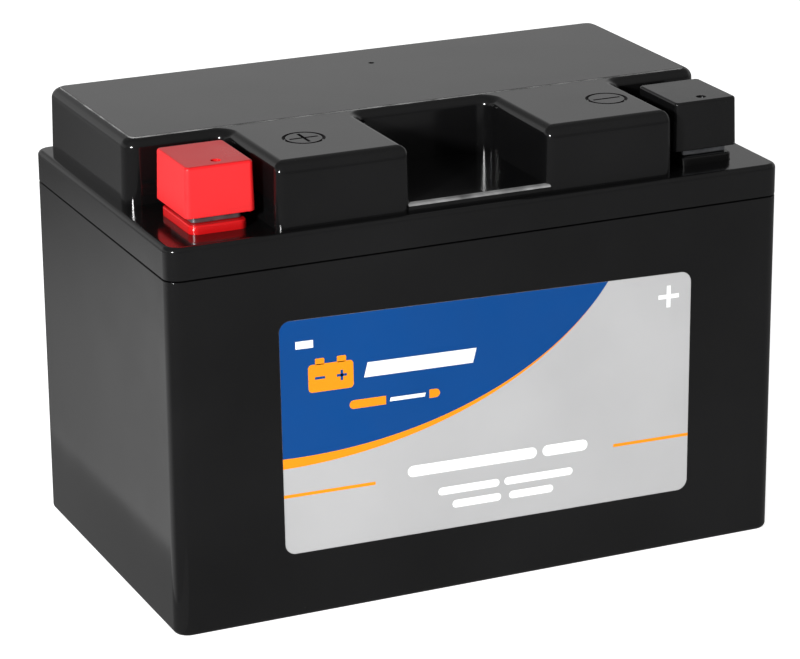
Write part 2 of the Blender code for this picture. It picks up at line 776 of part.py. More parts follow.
def plate_positions():
    """Left faces of the plates in a cell, as (negative, positive), from its centre."""
    metal = NEGATIVE_PLATES * NEGATIVE_THICKNESS + POSITIVE_PLATES * POSITIVE_THICKNESS
    spaces = NEGATIVE_PLATES + POSITIVE_PLATES - 1
    space = (2 * STACK_HALF_X - metal) / spaces
    step = NEGATIVE_THICKNESS + POSITIVE_THICKNESS + 2 * space
    negative = [-STACK_HALF_X + k * step for k in range(NEGATIVE_PLATES)]
    first = -STACK_HALF_X + NEGATIVE_THICKNESS + space
    positive = [first + k * step for k in range(POSITIVE_PLATES)]
    return negative, positive


def plate_outline(strap_y):
    """A plate seen from the side, with its lug, as (y, z)."""
    lug_low = strap_y - LUG_HALF_Y
    lug_high = strap_y + LUG_HALF_Y
    lug_top = STRAP_BOTTOM_Z + OVERLAP
    return [
        (-PLATE_HALF_Y, PLATE_BOTTOM_Z),
        (PLATE_HALF_Y, PLATE_BOTTOM_Z),
        (PLATE_HALF_Y, PLATE_TOP_Z),
        (lug_high, PLATE_TOP_Z),
        (lug_high, lug_top),
        (lug_low, lug_top),
        (lug_low, PLATE_TOP_Z),
        (-PLATE_HALF_Y, PLATE_TOP_Z),
    ]


def plate_group(name, slot, cell_x, lefts, thickness, strap_y, riser):
    """Plates hanging from one lead strap. The riser is (low x, high x, low y, high y, top z)."""
    bm = bmesh.new()
    for left in lefts:
        points = plate_outline(strap_y)
        sides = (left, left + thickness)
        add_loft(bm, [[(x, y, z) for y, z in points] for x in sides])
    group = make_object(name, bm, slot, (cell_x, 0, 0))

    bm = bmesh.new()
    low_x = min(lefts[0], riser[0])
    high_x = max(lefts[-1] + thickness, riser[1])
    low = (low_x, strap_y - STRAP_HALF_Y, STRAP_BOTTOM_Z)
    high = (high_x, strap_y + STRAP_HALF_Y, STRAP_TOP_Z)
    add_box(bm, low, high)
    weld(group, make_object(f"{name}_strap_form", bm, None, (cell_x, 0, 0)))

    bm = bmesh.new()
    add_box(bm, (riser[0], riser[2], STRAP_TOP_Z - OVERLAP), (riser[1], riser[3], riser[4]))
    weld(group, make_object(f"{name}_riser_form", bm, None, (cell_x, 0, 0)))


def link_riser(side, strap_y):
    """The upright next to a partition, which the link joins to the next cell."""
    outer = CELL_WIDTH / 2 - GAP
    inner = outer - RISER_THICKNESS
    low_x, high_x = sorted((side * inner, side * outer))
    return (low_x, high_x, strap_y - RISER_HALF_Y, strap_y + RISER_HALF_Y, RISER_TOP_Z)


def post_riser(side, cell_x, strap_y):
    """The upright under a terminal's post."""
    middle = side * TERMINAL_X - cell_x
    half = POST_RADIUS + GAP
    top = POST_BOTTOM_Z - GAP
    return (middle - half, middle + half, strap_y - RISER_HALF_Y, strap_y + RISER_HALF_Y, top)


def separator(index):
    """One glass mat folded to and fro between the plates of a cell."""
    negative, positive = plate_positions()
    space = positive[0] - negative[0] - NEGATIVE_THICKNESS
    runs = []
    for left in positive:
        runs.append(left - space / 2)
        runs.append(left + POSITIVE_THICKNESS + space / 2)
    half = SEPARATOR_THICKNESS / 2
    end_y = CELL_HALF_Y - GAP - half
    path = []
    for k, x in enumerate(runs):
        first = -end_y if k % 2 == 0 else end_y
        path += [Vector((x, first)), Vector((x, -first))]
    left_side = []
    right_side = []
    for k, point in enumerate(path):
        normals = []
        if k > 0:
            along = (point - path[k - 1]).normalized()
            normals.append(Vector((-along.y, along.x)))
        if k < len(path) - 1:
            along = (path[k + 1] - point).normalized()
            normals.append(Vector((-along.y, along.x)))
        shift = sum(normals, Vector((0, 0))) * half
        left_side.append(point + shift)
        right_side.append(point - shift)
    points = [tuple(p) for p in left_side + list(reversed(right_side))]
    bm = bmesh.new()
    add_prism(bm, points, PLATE_BOTTOM_Z - GAP, PLATE_TOP_Z + SEPARATOR_RISE)
    location = (cell_centre(index), 0, 0)
    make_object(f"cell_{index + 1}_separator", bm, "glass_mat", location)


def cell(index):
    x = cell_centre(index)
    negative, positive = plate_positions()
    positive_y = -link_y(index)
    negative_y = link_y(index)
    if index == 0:
        riser = post_riser(-1, x, positive_y)
    else:
        riser = link_riser(-1, positive_y)
    name = f"cell_{index + 1}_positive_plates"
    thickness = POSITIVE_THICKNESS
    plate_group(name, "positive_paste", x, positive, thickness, positive_y, riser)
    if index == CELLS - 1:
        riser = post_riser(1, x, negative_y)
    else:
        riser = link_riser(1, negative_y)
    name = f"cell_{index + 1}_negative_plates"
    thickness = NEGATIVE_THICKNESS
    plate_group(name, "negative_paste", x, negative, thickness, negative_y, riser)
    separator(index)


def cell_links():
    for i in range(CELLS - 1):
        bm = bmesh.new()
        half = PARTITION / 2
        add_rod(bm, WELD_RADIUS, (-half, 0, 0), (half, 0, 0), SMALL_ROUND)
        location = (partition_centre(i), link_y(i), WELD_Z)
        make_object(f"intercell_weld_{i + 1}", bm, "lead", location)


def build():
    clear_scene()
    jar()
    label()
    cover()
    top_plate()
    vent_filter()
    valve_caps()
    for side, polarity, cap_slot, seal_slot in (
        (-1, "positive", "red_cap", "red_resin"),
        (1, "negative", "black_cap", "black_resin"),
    ):
        terminal(side, polarity)
        terminal_seal(side, polarity, seal_slot)
        terminal_nut(side, polarity)
        terminal_screw(side, polarity)
        terminal_cover(side, polarity, cap_slot)
    for index in range(CELLS):
        cell(index)
    cell_links()


build()
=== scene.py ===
"""Looks of the motorcycle battery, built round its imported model.

The moulded outside is rebuilt with finer fillets, the label gets its printed fields, and every
piece gets a procedural material. X is the long side, -Y the front, and lengths are in metres.
"""

import json
import math

import bmesh
import bpy
from mathutils import Matrix, Vector


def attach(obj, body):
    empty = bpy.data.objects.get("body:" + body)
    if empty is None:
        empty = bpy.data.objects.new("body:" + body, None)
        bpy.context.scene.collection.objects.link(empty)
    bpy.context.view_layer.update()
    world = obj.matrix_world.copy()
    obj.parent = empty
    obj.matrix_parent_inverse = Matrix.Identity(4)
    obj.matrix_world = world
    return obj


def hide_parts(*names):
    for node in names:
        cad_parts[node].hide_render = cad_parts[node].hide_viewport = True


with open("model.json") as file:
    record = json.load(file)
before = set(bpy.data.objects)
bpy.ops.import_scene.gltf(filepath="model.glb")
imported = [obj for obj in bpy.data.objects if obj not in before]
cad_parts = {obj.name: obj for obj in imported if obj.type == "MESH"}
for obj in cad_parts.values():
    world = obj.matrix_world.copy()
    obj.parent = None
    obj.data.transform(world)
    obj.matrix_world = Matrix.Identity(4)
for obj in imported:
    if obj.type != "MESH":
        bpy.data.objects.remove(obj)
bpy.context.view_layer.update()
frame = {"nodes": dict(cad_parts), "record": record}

MM = 0.001

# Outside of the case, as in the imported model
LENGTH = 150.0 * MM
DEPTH = 88.0 * MM
HEIGHT = 105.0 * MM
SEAM_Z = 82.5 * MM
SEAM_GAP = 0.3 * MM
LEDGE_Z = 90.0 * MM
CASE_CORNER = 3.5 * MM
BASE_FILLET = 1.2 * MM
SKIRT_FILLET = 1.2 * MM
SEAM_EDGE = 0.15 * MM
RAISED_Z = 104.85 * MM
REAR_HALF_X = 71.8 * MM
REAR_FRONT_Y = -10.6 * MM
REAR_BACK_Y = 43.0 * MM
BLOCK_INNER_X = 16.4 * MM
BLOCK_OUTER_X = 48.6 * MM
BLOCK_FRONT_Y = -41.4 * MM
REAR_CORNER = 4.0 * MM
BLOCK_CORNER = 2.4 * MM
INNER_CORNER = 3.0 * MM
RAISED_DRAFT = 0.3 * MM
RAISED_FILLET = 2.3 * MM
BLOCK_FRONT_FILLET = 3.0 * MM
LIP_Z = 91.8 * MM
LIP_FILLET = 0.8 * MM
LIP_LAND = 0.6 * MM
LIP_RISE = 0.1 * MM
WALL = 2.6 * MM
FLOOR = 2.8 * MM
PARTITION = 1.6 * MM
COVER_WALL = 2.4 * MM
BLOCK_FRONT_SIDES = (2, 6)  # of the raised part's plan, the sides that are the blocks' fronts
CELLS = 6
CELL_WIDTH = (LENGTH - 2 * WALL - (CELLS - 1) * PARTITION) / CELLS
CELL_PITCH = CELL_WIDTH + PARTITION
CELL_HALF_Y = DEPTH / 2 - WALL

# Valve tray and top plate
TRAY_Z = 96.0 * MM
TRAY_WALL = 4.7 * MM
TRAY_BACK_Y = 24.4 * MM
SHELF_Z = 100.6 * MM
PLATE_SEAT_Z = 103.4 * MM
PLATE_INSET = 2.1 * MM  # the rear block rounds off up to the plate
PLATE_GAP = 0.12 * MM
PLATE_EDGE = 0.35 * MM
VALVE_PITCH = 23.2 * MM
CHIMNEY_Y = 15.0 * MM
CHIMNEY_TOP_Z = 99.6 * MM
CHIMNEY_RADIUS = 6.3 * MM
CHIMNEY_BORE = 4.5 * MM
STOP_RADIUS = 2.5 * MM
STOP_Z = 102.0 * MM
VENT = (4.5 * MM, 28.0 * MM)
VENT_RADIUS = 0.7 * MM
VENT_RING_INNER = 5.3 * MM
VENT_RING_OUTER = 6.3 * MM
VENT_RING_DEPTH = 2.5 * MM

# Terminals and what is round them
TERMINAL_X = 59.9 * MM
TERMINAL_Y = -27.9 * MM
TERMINAL_SIZE = (11.6 * MM, 14.0 * MM)
TERMINAL_TOP_Z = 100.3 * MM
TERMINAL_GAP = 0.05 * MM
TERMINAL_CORNER = 1.0 * MM
TERMINAL_FOOT_FILLET = 0.2 * MM
TERMINAL_TOP_FILLET = 0.5 * MM
TERMINAL_EDGE = 0.12 * MM
SEAL_Y = -27.2 * MM
SEAL_SIZE = (13.4 * MM, 18.6 * MM)
SEAL_CORNER = 2.0 * MM
SEAL_TOP_Z = 92.0 * MM
SEAL_WELL_Z = 89.0 * MM
SEAL_FILLET = 0.45 * MM
POST_Y = -27.5 * MM
POST_RADIUS = 4.0 * MM
POST_BOTTOM_Z = 76.3 * MM
BOSS_RADIUS = 6.6 * MM
BOSS_BOTTOM_Z = 84.0 * MM
NUT_SIZE = 8.0 * MM
NUT_THICKNESS = 3.4 * MM
NUT_Z = 94.6 * MM
NUT_CORNER = 0.5 * MM
NUT_CHAMFER = 0.35 * MM
SCREW_Y = -26.8 * MM
SCREW_RADIUS = 2.5 * MM
SCREW_HEAD_RADIUS = 4.6 * MM
SCREW_HEAD = 2.6 * MM
SCREW_TIP_Z = 94.2 * MM
SCREW_TIP_RADIUS = 1.6 * MM
SCREW_START_RADIUS = 2.0 * MM
SCREW_LEAD_IN = 0.4 * MM
THREAD_PITCH = 0.8 * MM
THREAD_DEPTH = 0.42 * MM
THREAD_ROOT = 0.1 * MM
HEAD_CHAMFER = 0.3 * MM
HEAD_RIM = 1.1 * MM
HEAD_TOP_RADIUS = 3.0 * MM
CROSS_BOTTOM = 0.9 * MM  # above the head's seat
CROSS_TOP = 0.2 * MM  # above the head
CROSS_WIDE = (2.4 * MM, 1.1 * MM)
CROSS_NARROW = (1.2 * MM, 0.7 * MM)
CAP_X = 59.5 * MM
CAP_Y = -27.1 * MM
CAP_SIZE = (16.3 * MM, 18.8 * MM)
CAP_BOTTOM_Z = 93.6 * MM
CAP_TOP_Z = 105.0 * MM
CAP_WALL = 1.1 * MM
CAP_CORNER = 1.1 * MM
CAP_FILLET = 0.6 * MM
CAP_DRAFT = 0.3 * MM
CAP_ROOF_Z = 103.5 * MM
CAP_RIM = 0.25 * MM
DIMPLE_RADIUS = 1.15 * MM
DIMPLE_DEPTH = 0.4 * MM
DIMPLE_BACK = 3.3 * MM  # behind the cap's front
DIMPLE_SHIFT = 0.4 * MM

# Label: its corners (x, z) on the jar's front, stuck on slightly out of square
LABEL_SIZE = (101.8 * MM, 54.0 * MM)
LABEL_TOP_LEFT = Vector((-49.80, 70.14)) * MM
LABEL_TOP_RIGHT = Vector((52.15, 67.44)) * MM
LABEL_LOW_RIGHT = Vector((52.13, 13.91)) * MM
LABEL_LOW_LEFT = Vector((-49.19, 15.33)) * MM
LABEL_CORNER = 2.6 * MM
LABEL_RECESS = 0.30 * MM
LABEL_CLEARANCE = 0.03 * MM
LABEL_BACK_DEPTH = 0.27 * MM
LABEL_FACE_DEPTH = 0.09 * MM
LABEL_EDGE = 0.04 * MM
INK = 0.014 * MM  # each printed colour lies this far above the one below

# Printed field, in millimetres from the label's lower left corner
FIELD_CENTRE = (3.75, 74.49)
FIELD_RADII = (83.44, 52.01)
FIELD_END = 82.0
BORDER_WIDTH = 2.35
BORDER_END = 78.0
FIELD_STEPS = 90
LINES = ((0.0, 13.35, 22.2, 0.75), (82.2, 13.4, 20.0, 0.75))
BATTERY_BOXES = (
    (6.6, 37.0, 10.8, 6.4, 0.9),
    (8.3, 43.2, 2.2, 1.5, 0.3),
    (13.5, 43.2, 2.2, 1.5, 0.3),
)
BATTERY_SIGNS = ((8.2, 39.9, 2.4, 0.6), (13.4, 39.9, 2.4, 0.6), (14.3, 39.0, 0.6, 2.4))
LEFT_UNDERLINE = (16.3, 31.95, 8.8, 2.0)
RIGHT_UNDERLINE = (35.7, 31.95, 2.6, 2.0)
MINUS_BAR = (3.75, 47.35, 4.2, 1.75)
PLUS_SIGN = (2.65, 1.05, (96.0, 48.5))
NAME_BARS = ((19.9, 38.9, 26.6, 3.4, 0.9), (26.0, 32.5, 8.6, 0.9, 0.2))
TEXT_BARS = (
    (30.1, 13.8, 32.4, 2.7),
    (63.9, 13.8, 11.6, 2.7),
    (37.6, 8.3, 15.4, 1.9),
    (54.2, 8.3, 17.5, 1.9),
    (41.1, 4.8, 12.3, 1.9),
    (55.4, 4.8, 11.3, 1.9),
)

# Polarity marks
MARK_Y = -24.4 * MM
PLUS_X = -35.0 * MM
MINUS_X = 40.0 * MM
MARK_RADIUS = 4.85 * MM
MARK_STROKE = 0.75 * MM
MARK_BAR = 3.4 * MM
MARK_DEPTH = 0.5 * MM

# Studio: strengths of the soft light, by where it comes from
BACK_LIGHT = 0.72
RIGHT_LIGHT = 0.56
OVERHEAD_LIGHT = 0.25
FRONT_LOW_LIGHT = 0.20
FRONT_HIGH_LIGHT = 0.35
FLOOR_LEFT_LOW = 0.32
FLOOR_LEFT_HIGH = 1.00
FLOOR_FAR_SHARE = 0.38
FLOOR_FRONT_LIGHT = 0.30
RIGHT_HEADING = 125
LEFT_HEADING = -71
FRONT_HEADING = -161
FLOOR_SIZE = 6.0
FLOOR_GLOW = 0.85
SHADE_WIDTH = 17.0 * MM
SHADE_LIGHT = 0.28
KEY_AZIMUTH = -52
KEY_ELEVATION = 17
KEY_DISTANCE = 1.4
KEY_SIZE = 0.14
KEY_POWER = 19.0
KEY_TARGET = (0, 0, 0.08)

# Camera: a long lens, a little above the object and to its left
LENS = 152.573
CAMERA_AZIMUTH = -24.232
CAMERA_ELEVATION = 19.104
CAMERA_ROLL = math.radians(-0.461)
CAMERA_POSITION = (-0.310749, -0.687807, 0.308777)

OVERLAP = 1.0 * MM
ARC_STEPS = 8
ROUND = 48
FINE_ROUND = 64
SMALL_ROUND = 32
TINY_ROUND = 24
SHARP = math.radians(32)


# ---- mesh tools


def new_object(name, data):
    obj = bpy.data.objects.new(name, data)
    bpy.context.scene.collection.objects.link(obj)
    return obj


def helper(name, bm):
    """An object used only as a Boolean's other half. It is removed once the piece is finished."""
    bmesh.ops.recalc_face_normals(bm, faces=bm.faces)
    mesh = bpy.data.meshes.new(name)
    bm.to_mesh(mesh)
    bm.free()
    return new_object(name, mesh)


def combine(target, bm, operation):
    tool = helper(f"{target.name}_tool", bm)
    modifier = target.modifiers.new("combine", "BOOLEAN")
    modifier.operation = operation
    modifier.solver = "EXACT"
    modifier.object = tool


def cut(target, bm):
    combine(target, bm, "DIFFERENCE")


def weld(target, bm):
    combine(target, bm, "UNION")


def finish_piece(name, base, slot, replaces, body="case", edge=0.0, highlight_faces=None):
    """Bakes the Booleans, rounds the sharp edges, parents the piece to its body and hides the parts
    it replaces.

    The last argument, a test on (centre, normal), picks the faces that get the painted highlight.
    """
    bpy.context.view_layer.update()
    graph = bpy.context.evaluated_depsgraph_get()
    mesh = bpy.data.meshes.new_from_object(base.evaluated_get(graph))
    tools = [m.object for m in base.modifiers if m.type == "BOOLEAN"]
    for obj in [*tools, base]:
        bpy.data.objects.remove(obj, do_unlink=True)
    mesh.name = name
    mesh.materials.clear()
    mesh.materials.append(MATERIALS[slot])
    if highlight_faces:
        # painted highlight: the picked faces get the pale grey material
        mesh.materials.append(MATERIALS["painted_highlight_edge"])
        for face in mesh.polygons:
            if highlight_faces(face.center, face.normal):
                face.material_index = 1
    mesh.shade_smooth()
    mesh.set_sharp_from_angle(angle=SHARP)
    obj = new_object(name, mesh)
    if edge:
        bevel = obj.modifiers.new("edges", "BEVEL")
        bevel.width = edge
        bevel.segments = 2
        bevel.limit_method = "ANGLE"
        bevel.angle_limit = SHARP
        bevel.use_clamp_overlap = True
        bevel.miter_outer = "MITER_ARC"
    shading = obj.modifiers.new("shading", "WEIGHTED_NORMAL")
    shading.keep_sharp = True
    shading.weight = 60
    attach(obj, body)
    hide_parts(*replaces)


def add_box(bm, low, high):
    size = Vector(high) - Vector(low)
    centre = (Vector(high) + Vector(low)) / 2
    matrix = Matrix.Translation(centre) @ Matrix.Diagonal((*size, 1.0))
    bmesh.ops.create_cube(bm, size=1.0, matrix=matrix)


def add_rod(bm, radius, start, end, segments=ROUND):
    start = Vector(start)
    along = Vector(end) - start
    turn = Vector((0, 0, 1)).rotation_difference(along).to_matrix().to_4x4()
    bmesh.ops.create_cone(
        bm,
        cap_ends=True,
        segments=segments,
        radius1=radius,
        radius2=radius,
        depth=along.length,
        matrix=Matrix.Translation(start + along / 2) @ turn,
    )


def add_post(bm, radius, centre, low, high, segments=ROUND):
    """An upright rod between two heights."""
    add_rod(bm, radius, (*centre, low), (*centre, high), segments)


def add_loft(bm, rings):
    """A closed skin through rings that have the same number of points, with both ends filled."""
    loops = [[bm.verts.new(point) for point in ring] for ring in rings]
    count = len(loops[0])
    for lower, upper in zip(loops, loops[1:]):
        for i in range(count):
            j = (i + 1) % count
            bm.faces.new((lower[i], lower[j], upper[j], upper[i]))
    bm.faces.new(list(reversed(loops[0])))
    bm.faces.new(loops[-1])


def add_lathe(bm, profile, centre=(0, 0), segments=ROUND):
    """Turns (radius, z) points about a vertical axis. The profile is a closed loop off the axis."""
    rings = []
    for radius, z in profile:
        ring = []
        for k in range(segments):
            angle = 2 * math.pi * k / segments
            x = centre[0] + radius * math.cos(angle)
            y = centre[1] + radius * math.sin(angle)
            ring.append(bm.verts.new((x, y, z)))
        rings.append(ring)
    for ring, following in zip(rings, rings[1:] + rings[:1]):
        for k in range(segments):
            j = (k + 1) % segments
            bm.faces.new((ring[k], ring[j], following[j], following[k]))


def add_block(bm, corners, low, high):
    """An upright block on a rounded outline."""
    add_loft(bm, [outline(corners, low), outline(corners, high)])


def rectangle(width, depth, radius, centre=(0, 0)):
    x, y = centre
    half_x = width / 2
    half_y = depth / 2
    return [
        (x - half_x, y - half_y, radius),
        (x + half_x, y - half_y, radius),
        (x + half_x, y + half_y, radius),
        (x - half_x, y + half_y, radius),
    ]


def turns_left(before, corner, after):
    first = corner - before
    second = after - corner
    return first.x * second.y - first.y * second.x > 0


def inset_corners(corners, amounts):
    """The outline moved inwards by one amount, or by one amount for each side."""
    count = len(corners)
    if not isinstance(amounts, list):
        amounts = [amounts] * count
    result = []
    for i, (x, y, radius) in enumerate(corners):
        corner = Vector((x, y))
        before = Vector(corners[i - 1][:2])
        after = Vector(corners[(i + 1) % count][:2])
        incoming = (corner - before).normalized()
        outgoing = (after - corner).normalized()
        moved = corner + Vector((-incoming.y, incoming.x)) * amounts[i - 1]
        moved += Vector((-outgoing.y, outgoing.x)) * amounts[i]
        mean = (amounts[i - 1] + amounts[i]) / 2
        change = -mean if turns_left(before, corner, after) else mean
        result.append((moved.x, moved.y, max(radius + change, SEAM_EDGE)))
    return result


def outline(corners, z, steps=ARC_STEPS):
    """Points of a right-angled outline with rounded corners at height z."""
    points = []
    count = len(corners)
    for i, (x, y, radius) in enumerate(corners):
        corner = Vector((x, y))
        back = (Vector(corners[i - 1][:2]) - corner).normalized()
        ahead = (Vector(corners[(i + 1) % count][:2]) - corner).normalized()
        centre = corner + (back + ahead) * radius
        for k in range(steps + 1):
            angle = math.pi / 2 * k / steps
            point = centre - ahead * radius * math.cos(angle) - back * radius * math.sin(angle)
            points.append((point.x, point.y, z))
    return points


def top_fillet(z, radius, start_inset=0.0, steps=6):
    """(z, inset) levels that round an upper edge off."""
    angles = [math.pi / 2 * k / steps for k in range(steps + 1)]
    return [
        (z - radius + radius * math.sin(a), start_inset + radius * (1 - math.cos(a)))
        for a in angles
    ]


def bottom_fillet(z, radius, steps=6):
    angles = [math.pi / 2 * k / steps for k in range(steps, -1, -1)]
    return [(z + radius - radius * math.sin(a), radius * (1 - math.cos(a))) for a in angles]


def add_moulding(bm, corners, levels, steps=ARC_STEPS):
    add_loft(bm, [outline(inset_corners(corners, inset), z, steps) for z, inset in levels])


def cell_centre(index):
    return (index - (CELLS - 1) / 2) * CELL_PITCH


def valve_centre(index):
    return (index - (CELLS - 1) / 2) * VALVE_PITCH


def cross_points(reach, stroke, centre):
    """A plus sign as a twelve-sided outline."""
    half = stroke / 2
    quarter = [(reach, -half), (reach, half), (half, half)]
    points = []
    for k in range(4):
        cos = round(math.cos(math.pi / 2 * k))
        sin = round(math.sin(math.pi / 2 * k))
        for x, y in quarter:
            points.append((centre[0] + x * cos - y * sin, centre[1] + x * sin + y * cos))
    return points


def add_prism(bm, points, bottom, top):
    add_loft(bm, [[(x, y, z) for x, y in points] for z in (bottom, top)])


# ---- materials

PLASTIC_IOR = 1.46
INK_IOR = 1.25


class Nodes:
    """Short ways to add maths nodes to a tree."""

    def __init__(self, tree):
        self.tree = tree

    def link(self, source, target):
        self.tree.links.new(source, target)

    def remap(self, source, low, high, new_low, new_high, kind="LINEAR"):
        made = self.tree.nodes.new("ShaderNodeMapRange")
        made.interpolation_type = kind
        limits = {"From Min": low, "From Max": high, "To Min": new_low, "To Max": new_high}
        for key, value in limits.items():
            made.inputs[key].default_value = value
        self.link(source, made.inputs["Value"])
        return made.outputs["Result"]

    def maths(self, operation, first, second):
        made = self.tree.nodes.new("ShaderNodeMath")
        made.operation = operation
        for socket, value in zip(made.inputs, (first, second)):
            if isinstance(value, (int, float)):
                socket.default_value = value
            else:
                self.link(value, socket)
        return made.outputs["Value"]


class Shader(Nodes):
    """A Principled material with a few short ways to add nodes in object space."""

    def __init__(self, name, colour, roughness, metallic=0.0):
        self.material = bpy.data.materials.new(name)
        self.material.use_nodes = True
        super().__init__(self.material.node_tree)
        self.bsdf = self.tree.nodes["Principled BSDF"]
        self.bsdf.inputs["Base Color"].default_value = (*colour, 1.0)
        self.bsdf.inputs["Roughness"].default_value = roughness
        self.bsdf.inputs["Metallic"].default_value = metallic
        self.coords = self.node("ShaderNodeTexCoord").outputs["Object"]

    def node(self, kind, **inputs):
        made = self.tree.nodes.new(kind)
        for key, value in inputs.items():
            made.inputs[key.replace("_", " ")].default_value = value
        return made

    def noise(self, scale, detail=3.0, stretch=None, rough=0.5):
        made = self.node("ShaderNodeTexNoise", Scale=scale, Detail=detail, Roughness=rough)
        source = self.coords
        if stretch:
            mapping = self.node("ShaderNodeMapping", Scale=stretch)
            self.link(source, mapping.inputs["Vector"])
            source = mapping.outputs["Vector"]
        self.link(source, made.inputs["Vector"])
        return made.outputs["Fac"]

    def patches(self, scale, detail, low, high):
        """Noise sharpened into patches, 0 outside and 1 inside."""
        return self.remap(self.noise(scale, detail), low, high, 0.0, 1.0)

    def colour(self, source):
        self.link(source, self.bsdf.inputs["Base Color"])

    def rough(self, source):
        self.link(source, self.bsdf.inputs["Roughness"])

    def glow(self, strength):
        self.bsdf.inputs["Emission Color"].default_value = (1.0, 1.0, 1.0, 1.0)
        self.bsdf.inputs["Emission Strength"].default_value = strength

    def mix(self, factor, first, second):
        """A mix of two colours, each a tuple or a socket."""
        made = self.tree.nodes.new("ShaderNodeMix")
        made.data_type = "RGBA"
        self.link(factor, made.inputs["Factor"])
        for key, value in (("A", first), ("B", second)):
            socket = [s for s in made.inputs if s.name == key and s.type == "RGBA"][0]
            if isinstance(value, tuple):
                socket.default_value = (*value, 1.0)
            else:
                self.link(value, socket)
        return [s for s in made.outputs if s.type == "RGBA"][0]

    def bump(self, heights):
        """Chains (height, distance, strength) into the normal."""
        normal = None
        for height, distance, strength in heights:
            made = self.node("ShaderNodeBump", Distance=distance, Strength=strength)
            self.link(height, made.inputs["Height"])
            if normal:
                self.link(normal, made.inputs["Normal"])
            normal = made.outputs["Normal"]
        self.link(normal, self.bsdf.inputs["Normal"])

    def scratches(self, scale, angle):
        """Thin lines in one direction, 1 in a scratch."""
        turn = (angle, angle * 0.7, angle * 1.3)
        mapping = self.node("ShaderNodeMapping", Rotation=turn, Scale=(1.0, 14.0, 1.0))
        self.link(self.coords, mapping.inputs["Vector"])
        made = self.node("ShaderNodeTexNoise", Scale=scale, Detail=2.0, Roughness=0.6)
        self.link(mapping.outputs["Vector"], made.inputs["Vector"])
        return self.remap(made.outputs["Fac"], 0.70, 0.74, 0.0, 1.0)


def moulded_plastic(name, colour, roughness, mottling=0.35):
    """Glossy moulded plastic with flow marks, fine orange peel, dust and faint scratches."""
    s = Shader(name, colour, roughness)
    s.bsdf.inputs["IOR"].default_value = PLASTIC_IOR
    cloud = s.patches(22.0, 4.0, 0.3, 0.7)
    grain = s.noise(900.0, 2.0)
    dust = s.patches(2600.0, 1.0, 0.74, 0.80)
    scratch = s.scratches(260.0, 0.6)
    lighter = tuple(min(1.0, c * (1 + mottling) + 0.0006) for c in colour)
    darker = tuple(c * (1 - mottling * 0.6) for c in colour)
    base = s.mix(cloud, darker, lighter)
    dusty = tuple(c * 0.9 + 0.012 for c in colour)
    s.colour(s.mix(s.maths("MULTIPLY", dust, 0.55), base, dusty))
    rough = s.remap(s.noise(60.0, 3.0), 0.3, 0.7, roughness * 0.82, roughness * 1.22)
    rough = s.maths("ADD", rough, s.maths("MULTIPLY", scratch, 0.10))
    s.rough(s.maths("ADD", rough, s.maths("MULTIPLY", dust, 0.12)))
    waves = s.noise(70.0, 2.0)
    s.bump([(waves, 0.00002, 0.05), (grain, 0.000002, 0.08), (scratch, 0.000002, 0.2)])
    return s.material


def painted_highlight_plastic(name):
    """Painted highlight: black plastic turned a patchy pale grey where edges should catch the light.
    """
    s = Shader(name, (0.2, 0.2, 0.2), 0.35)
    patches = s.patches(150.0, 4.0, 0.35, 0.62)
    s.colour(s.mix(patches, (0.09, 0.09, 0.09), (0.34, 0.34, 0.34)))
    s.rough(s.remap(patches, 0.0, 1.0, 0.28, 0.5))
    s.bump([(s.noise(1800.0, 2.0), 0.00001, 0.3)])
    return s.material


def lead_metal(name, colour, roughness):
    """Cast lead: dull, with pits, casting ripples and a blotchy oxide skin."""
    s = Shader(name, colour, roughness, 1.0)
    blotch = s.patches(320.0, 5.0, 0.35, 0.65)
    dark = tuple(c * 0.62 for c in colour)
    light = tuple(min(1.0, c * 1.25) for c in colour)
    s.colour(s.mix(blotch, dark, light))
    s.rough(s.remap(blotch, 0.0, 1.0, roughness * 1.25, roughness * 0.8))
    s.bump([(s.noise(1400.0, 4.0), 0.00003, 0.35), (s.noise(260.0, 2.0), 0.00005, 0.3)])
    return s.material


def zinc_steel(name):
    """Bright plating, brushed by the tool, slightly stained."""
    s = Shader(name, (0.62, 0.62, 0.64), 0.24, 1.0)
    stain = s.patches(500.0, 4.0, 0.4, 0.7)
    s.colour(s.mix(stain, (0.68, 0.68, 0.70), (0.46, 0.45, 0.43)))
    s.rough(s.remap(stain, 0.0, 1.0, 0.2, 0.36))
    fine = s.noise(1500.0, 2.0, (1.0, 1.0, 9.0))
    s.bump([(fine, 0.00001, 0.3)])
    return s.material


def printed_film(name, colour):
    """One printed colour: ink density varies a little, over a faint paper-like film texture."""
    roughness = 0.34
    variation = 0.035
    s = Shader(name, colour, roughness)
    s.bsdf.inputs["IOR"].default_value = INK_IOR
    cloud = s.patches(40.0, 3.0, 0.3, 0.7)
    low = tuple(c * (1 - variation) for c in colour)
    high = tuple(min(1.0, c * (1 + variation)) for c in colour)
    s.colour(s.mix(cloud, low, high))
    s.rough(s.remap(s.noise(130.0, 3.0), 0.3, 0.7, roughness - 0.05, roughness + 0.06))
    s.bump([(s.noise(1800.0, 2.0), 0.000004, 0.3)])
    return s.material


def valve_rubber(name):
    s = Shader(name, (0.02, 0.02, 0.02), 0.72)
    bloom = s.patches(180.0, 4.0, 0.45, 0.75)
    s.colour(s.mix(bloom, (0.016, 0.016, 0.017), (0.05, 0.05, 0.048)))
    s.rough(s.remap(bloom, 0.0, 1.0, 0.62, 0.82))
    s.bump([(s.noise(2200.0, 3.0), 0.00002, 0.3)])
    return s.material


def porous_disc(name):
    s = Shader(name, (0.75, 0.75, 0.72), 0.9)
    cells = s.node("ShaderNodeTexVoronoi", Scale=3200.0)
    s.link(s.coords, cells.inputs["Vector"])
    pores = s.remap(cells.outputs["Distance"], 0.0, 0.6, 0.0, 1.0)
    s.colour(s.mix(pores, (0.45, 0.44, 0.41), (0.80, 0.79, 0.76)))
    s.bump([(pores, 0.0001, 0.6)])
    return s.material


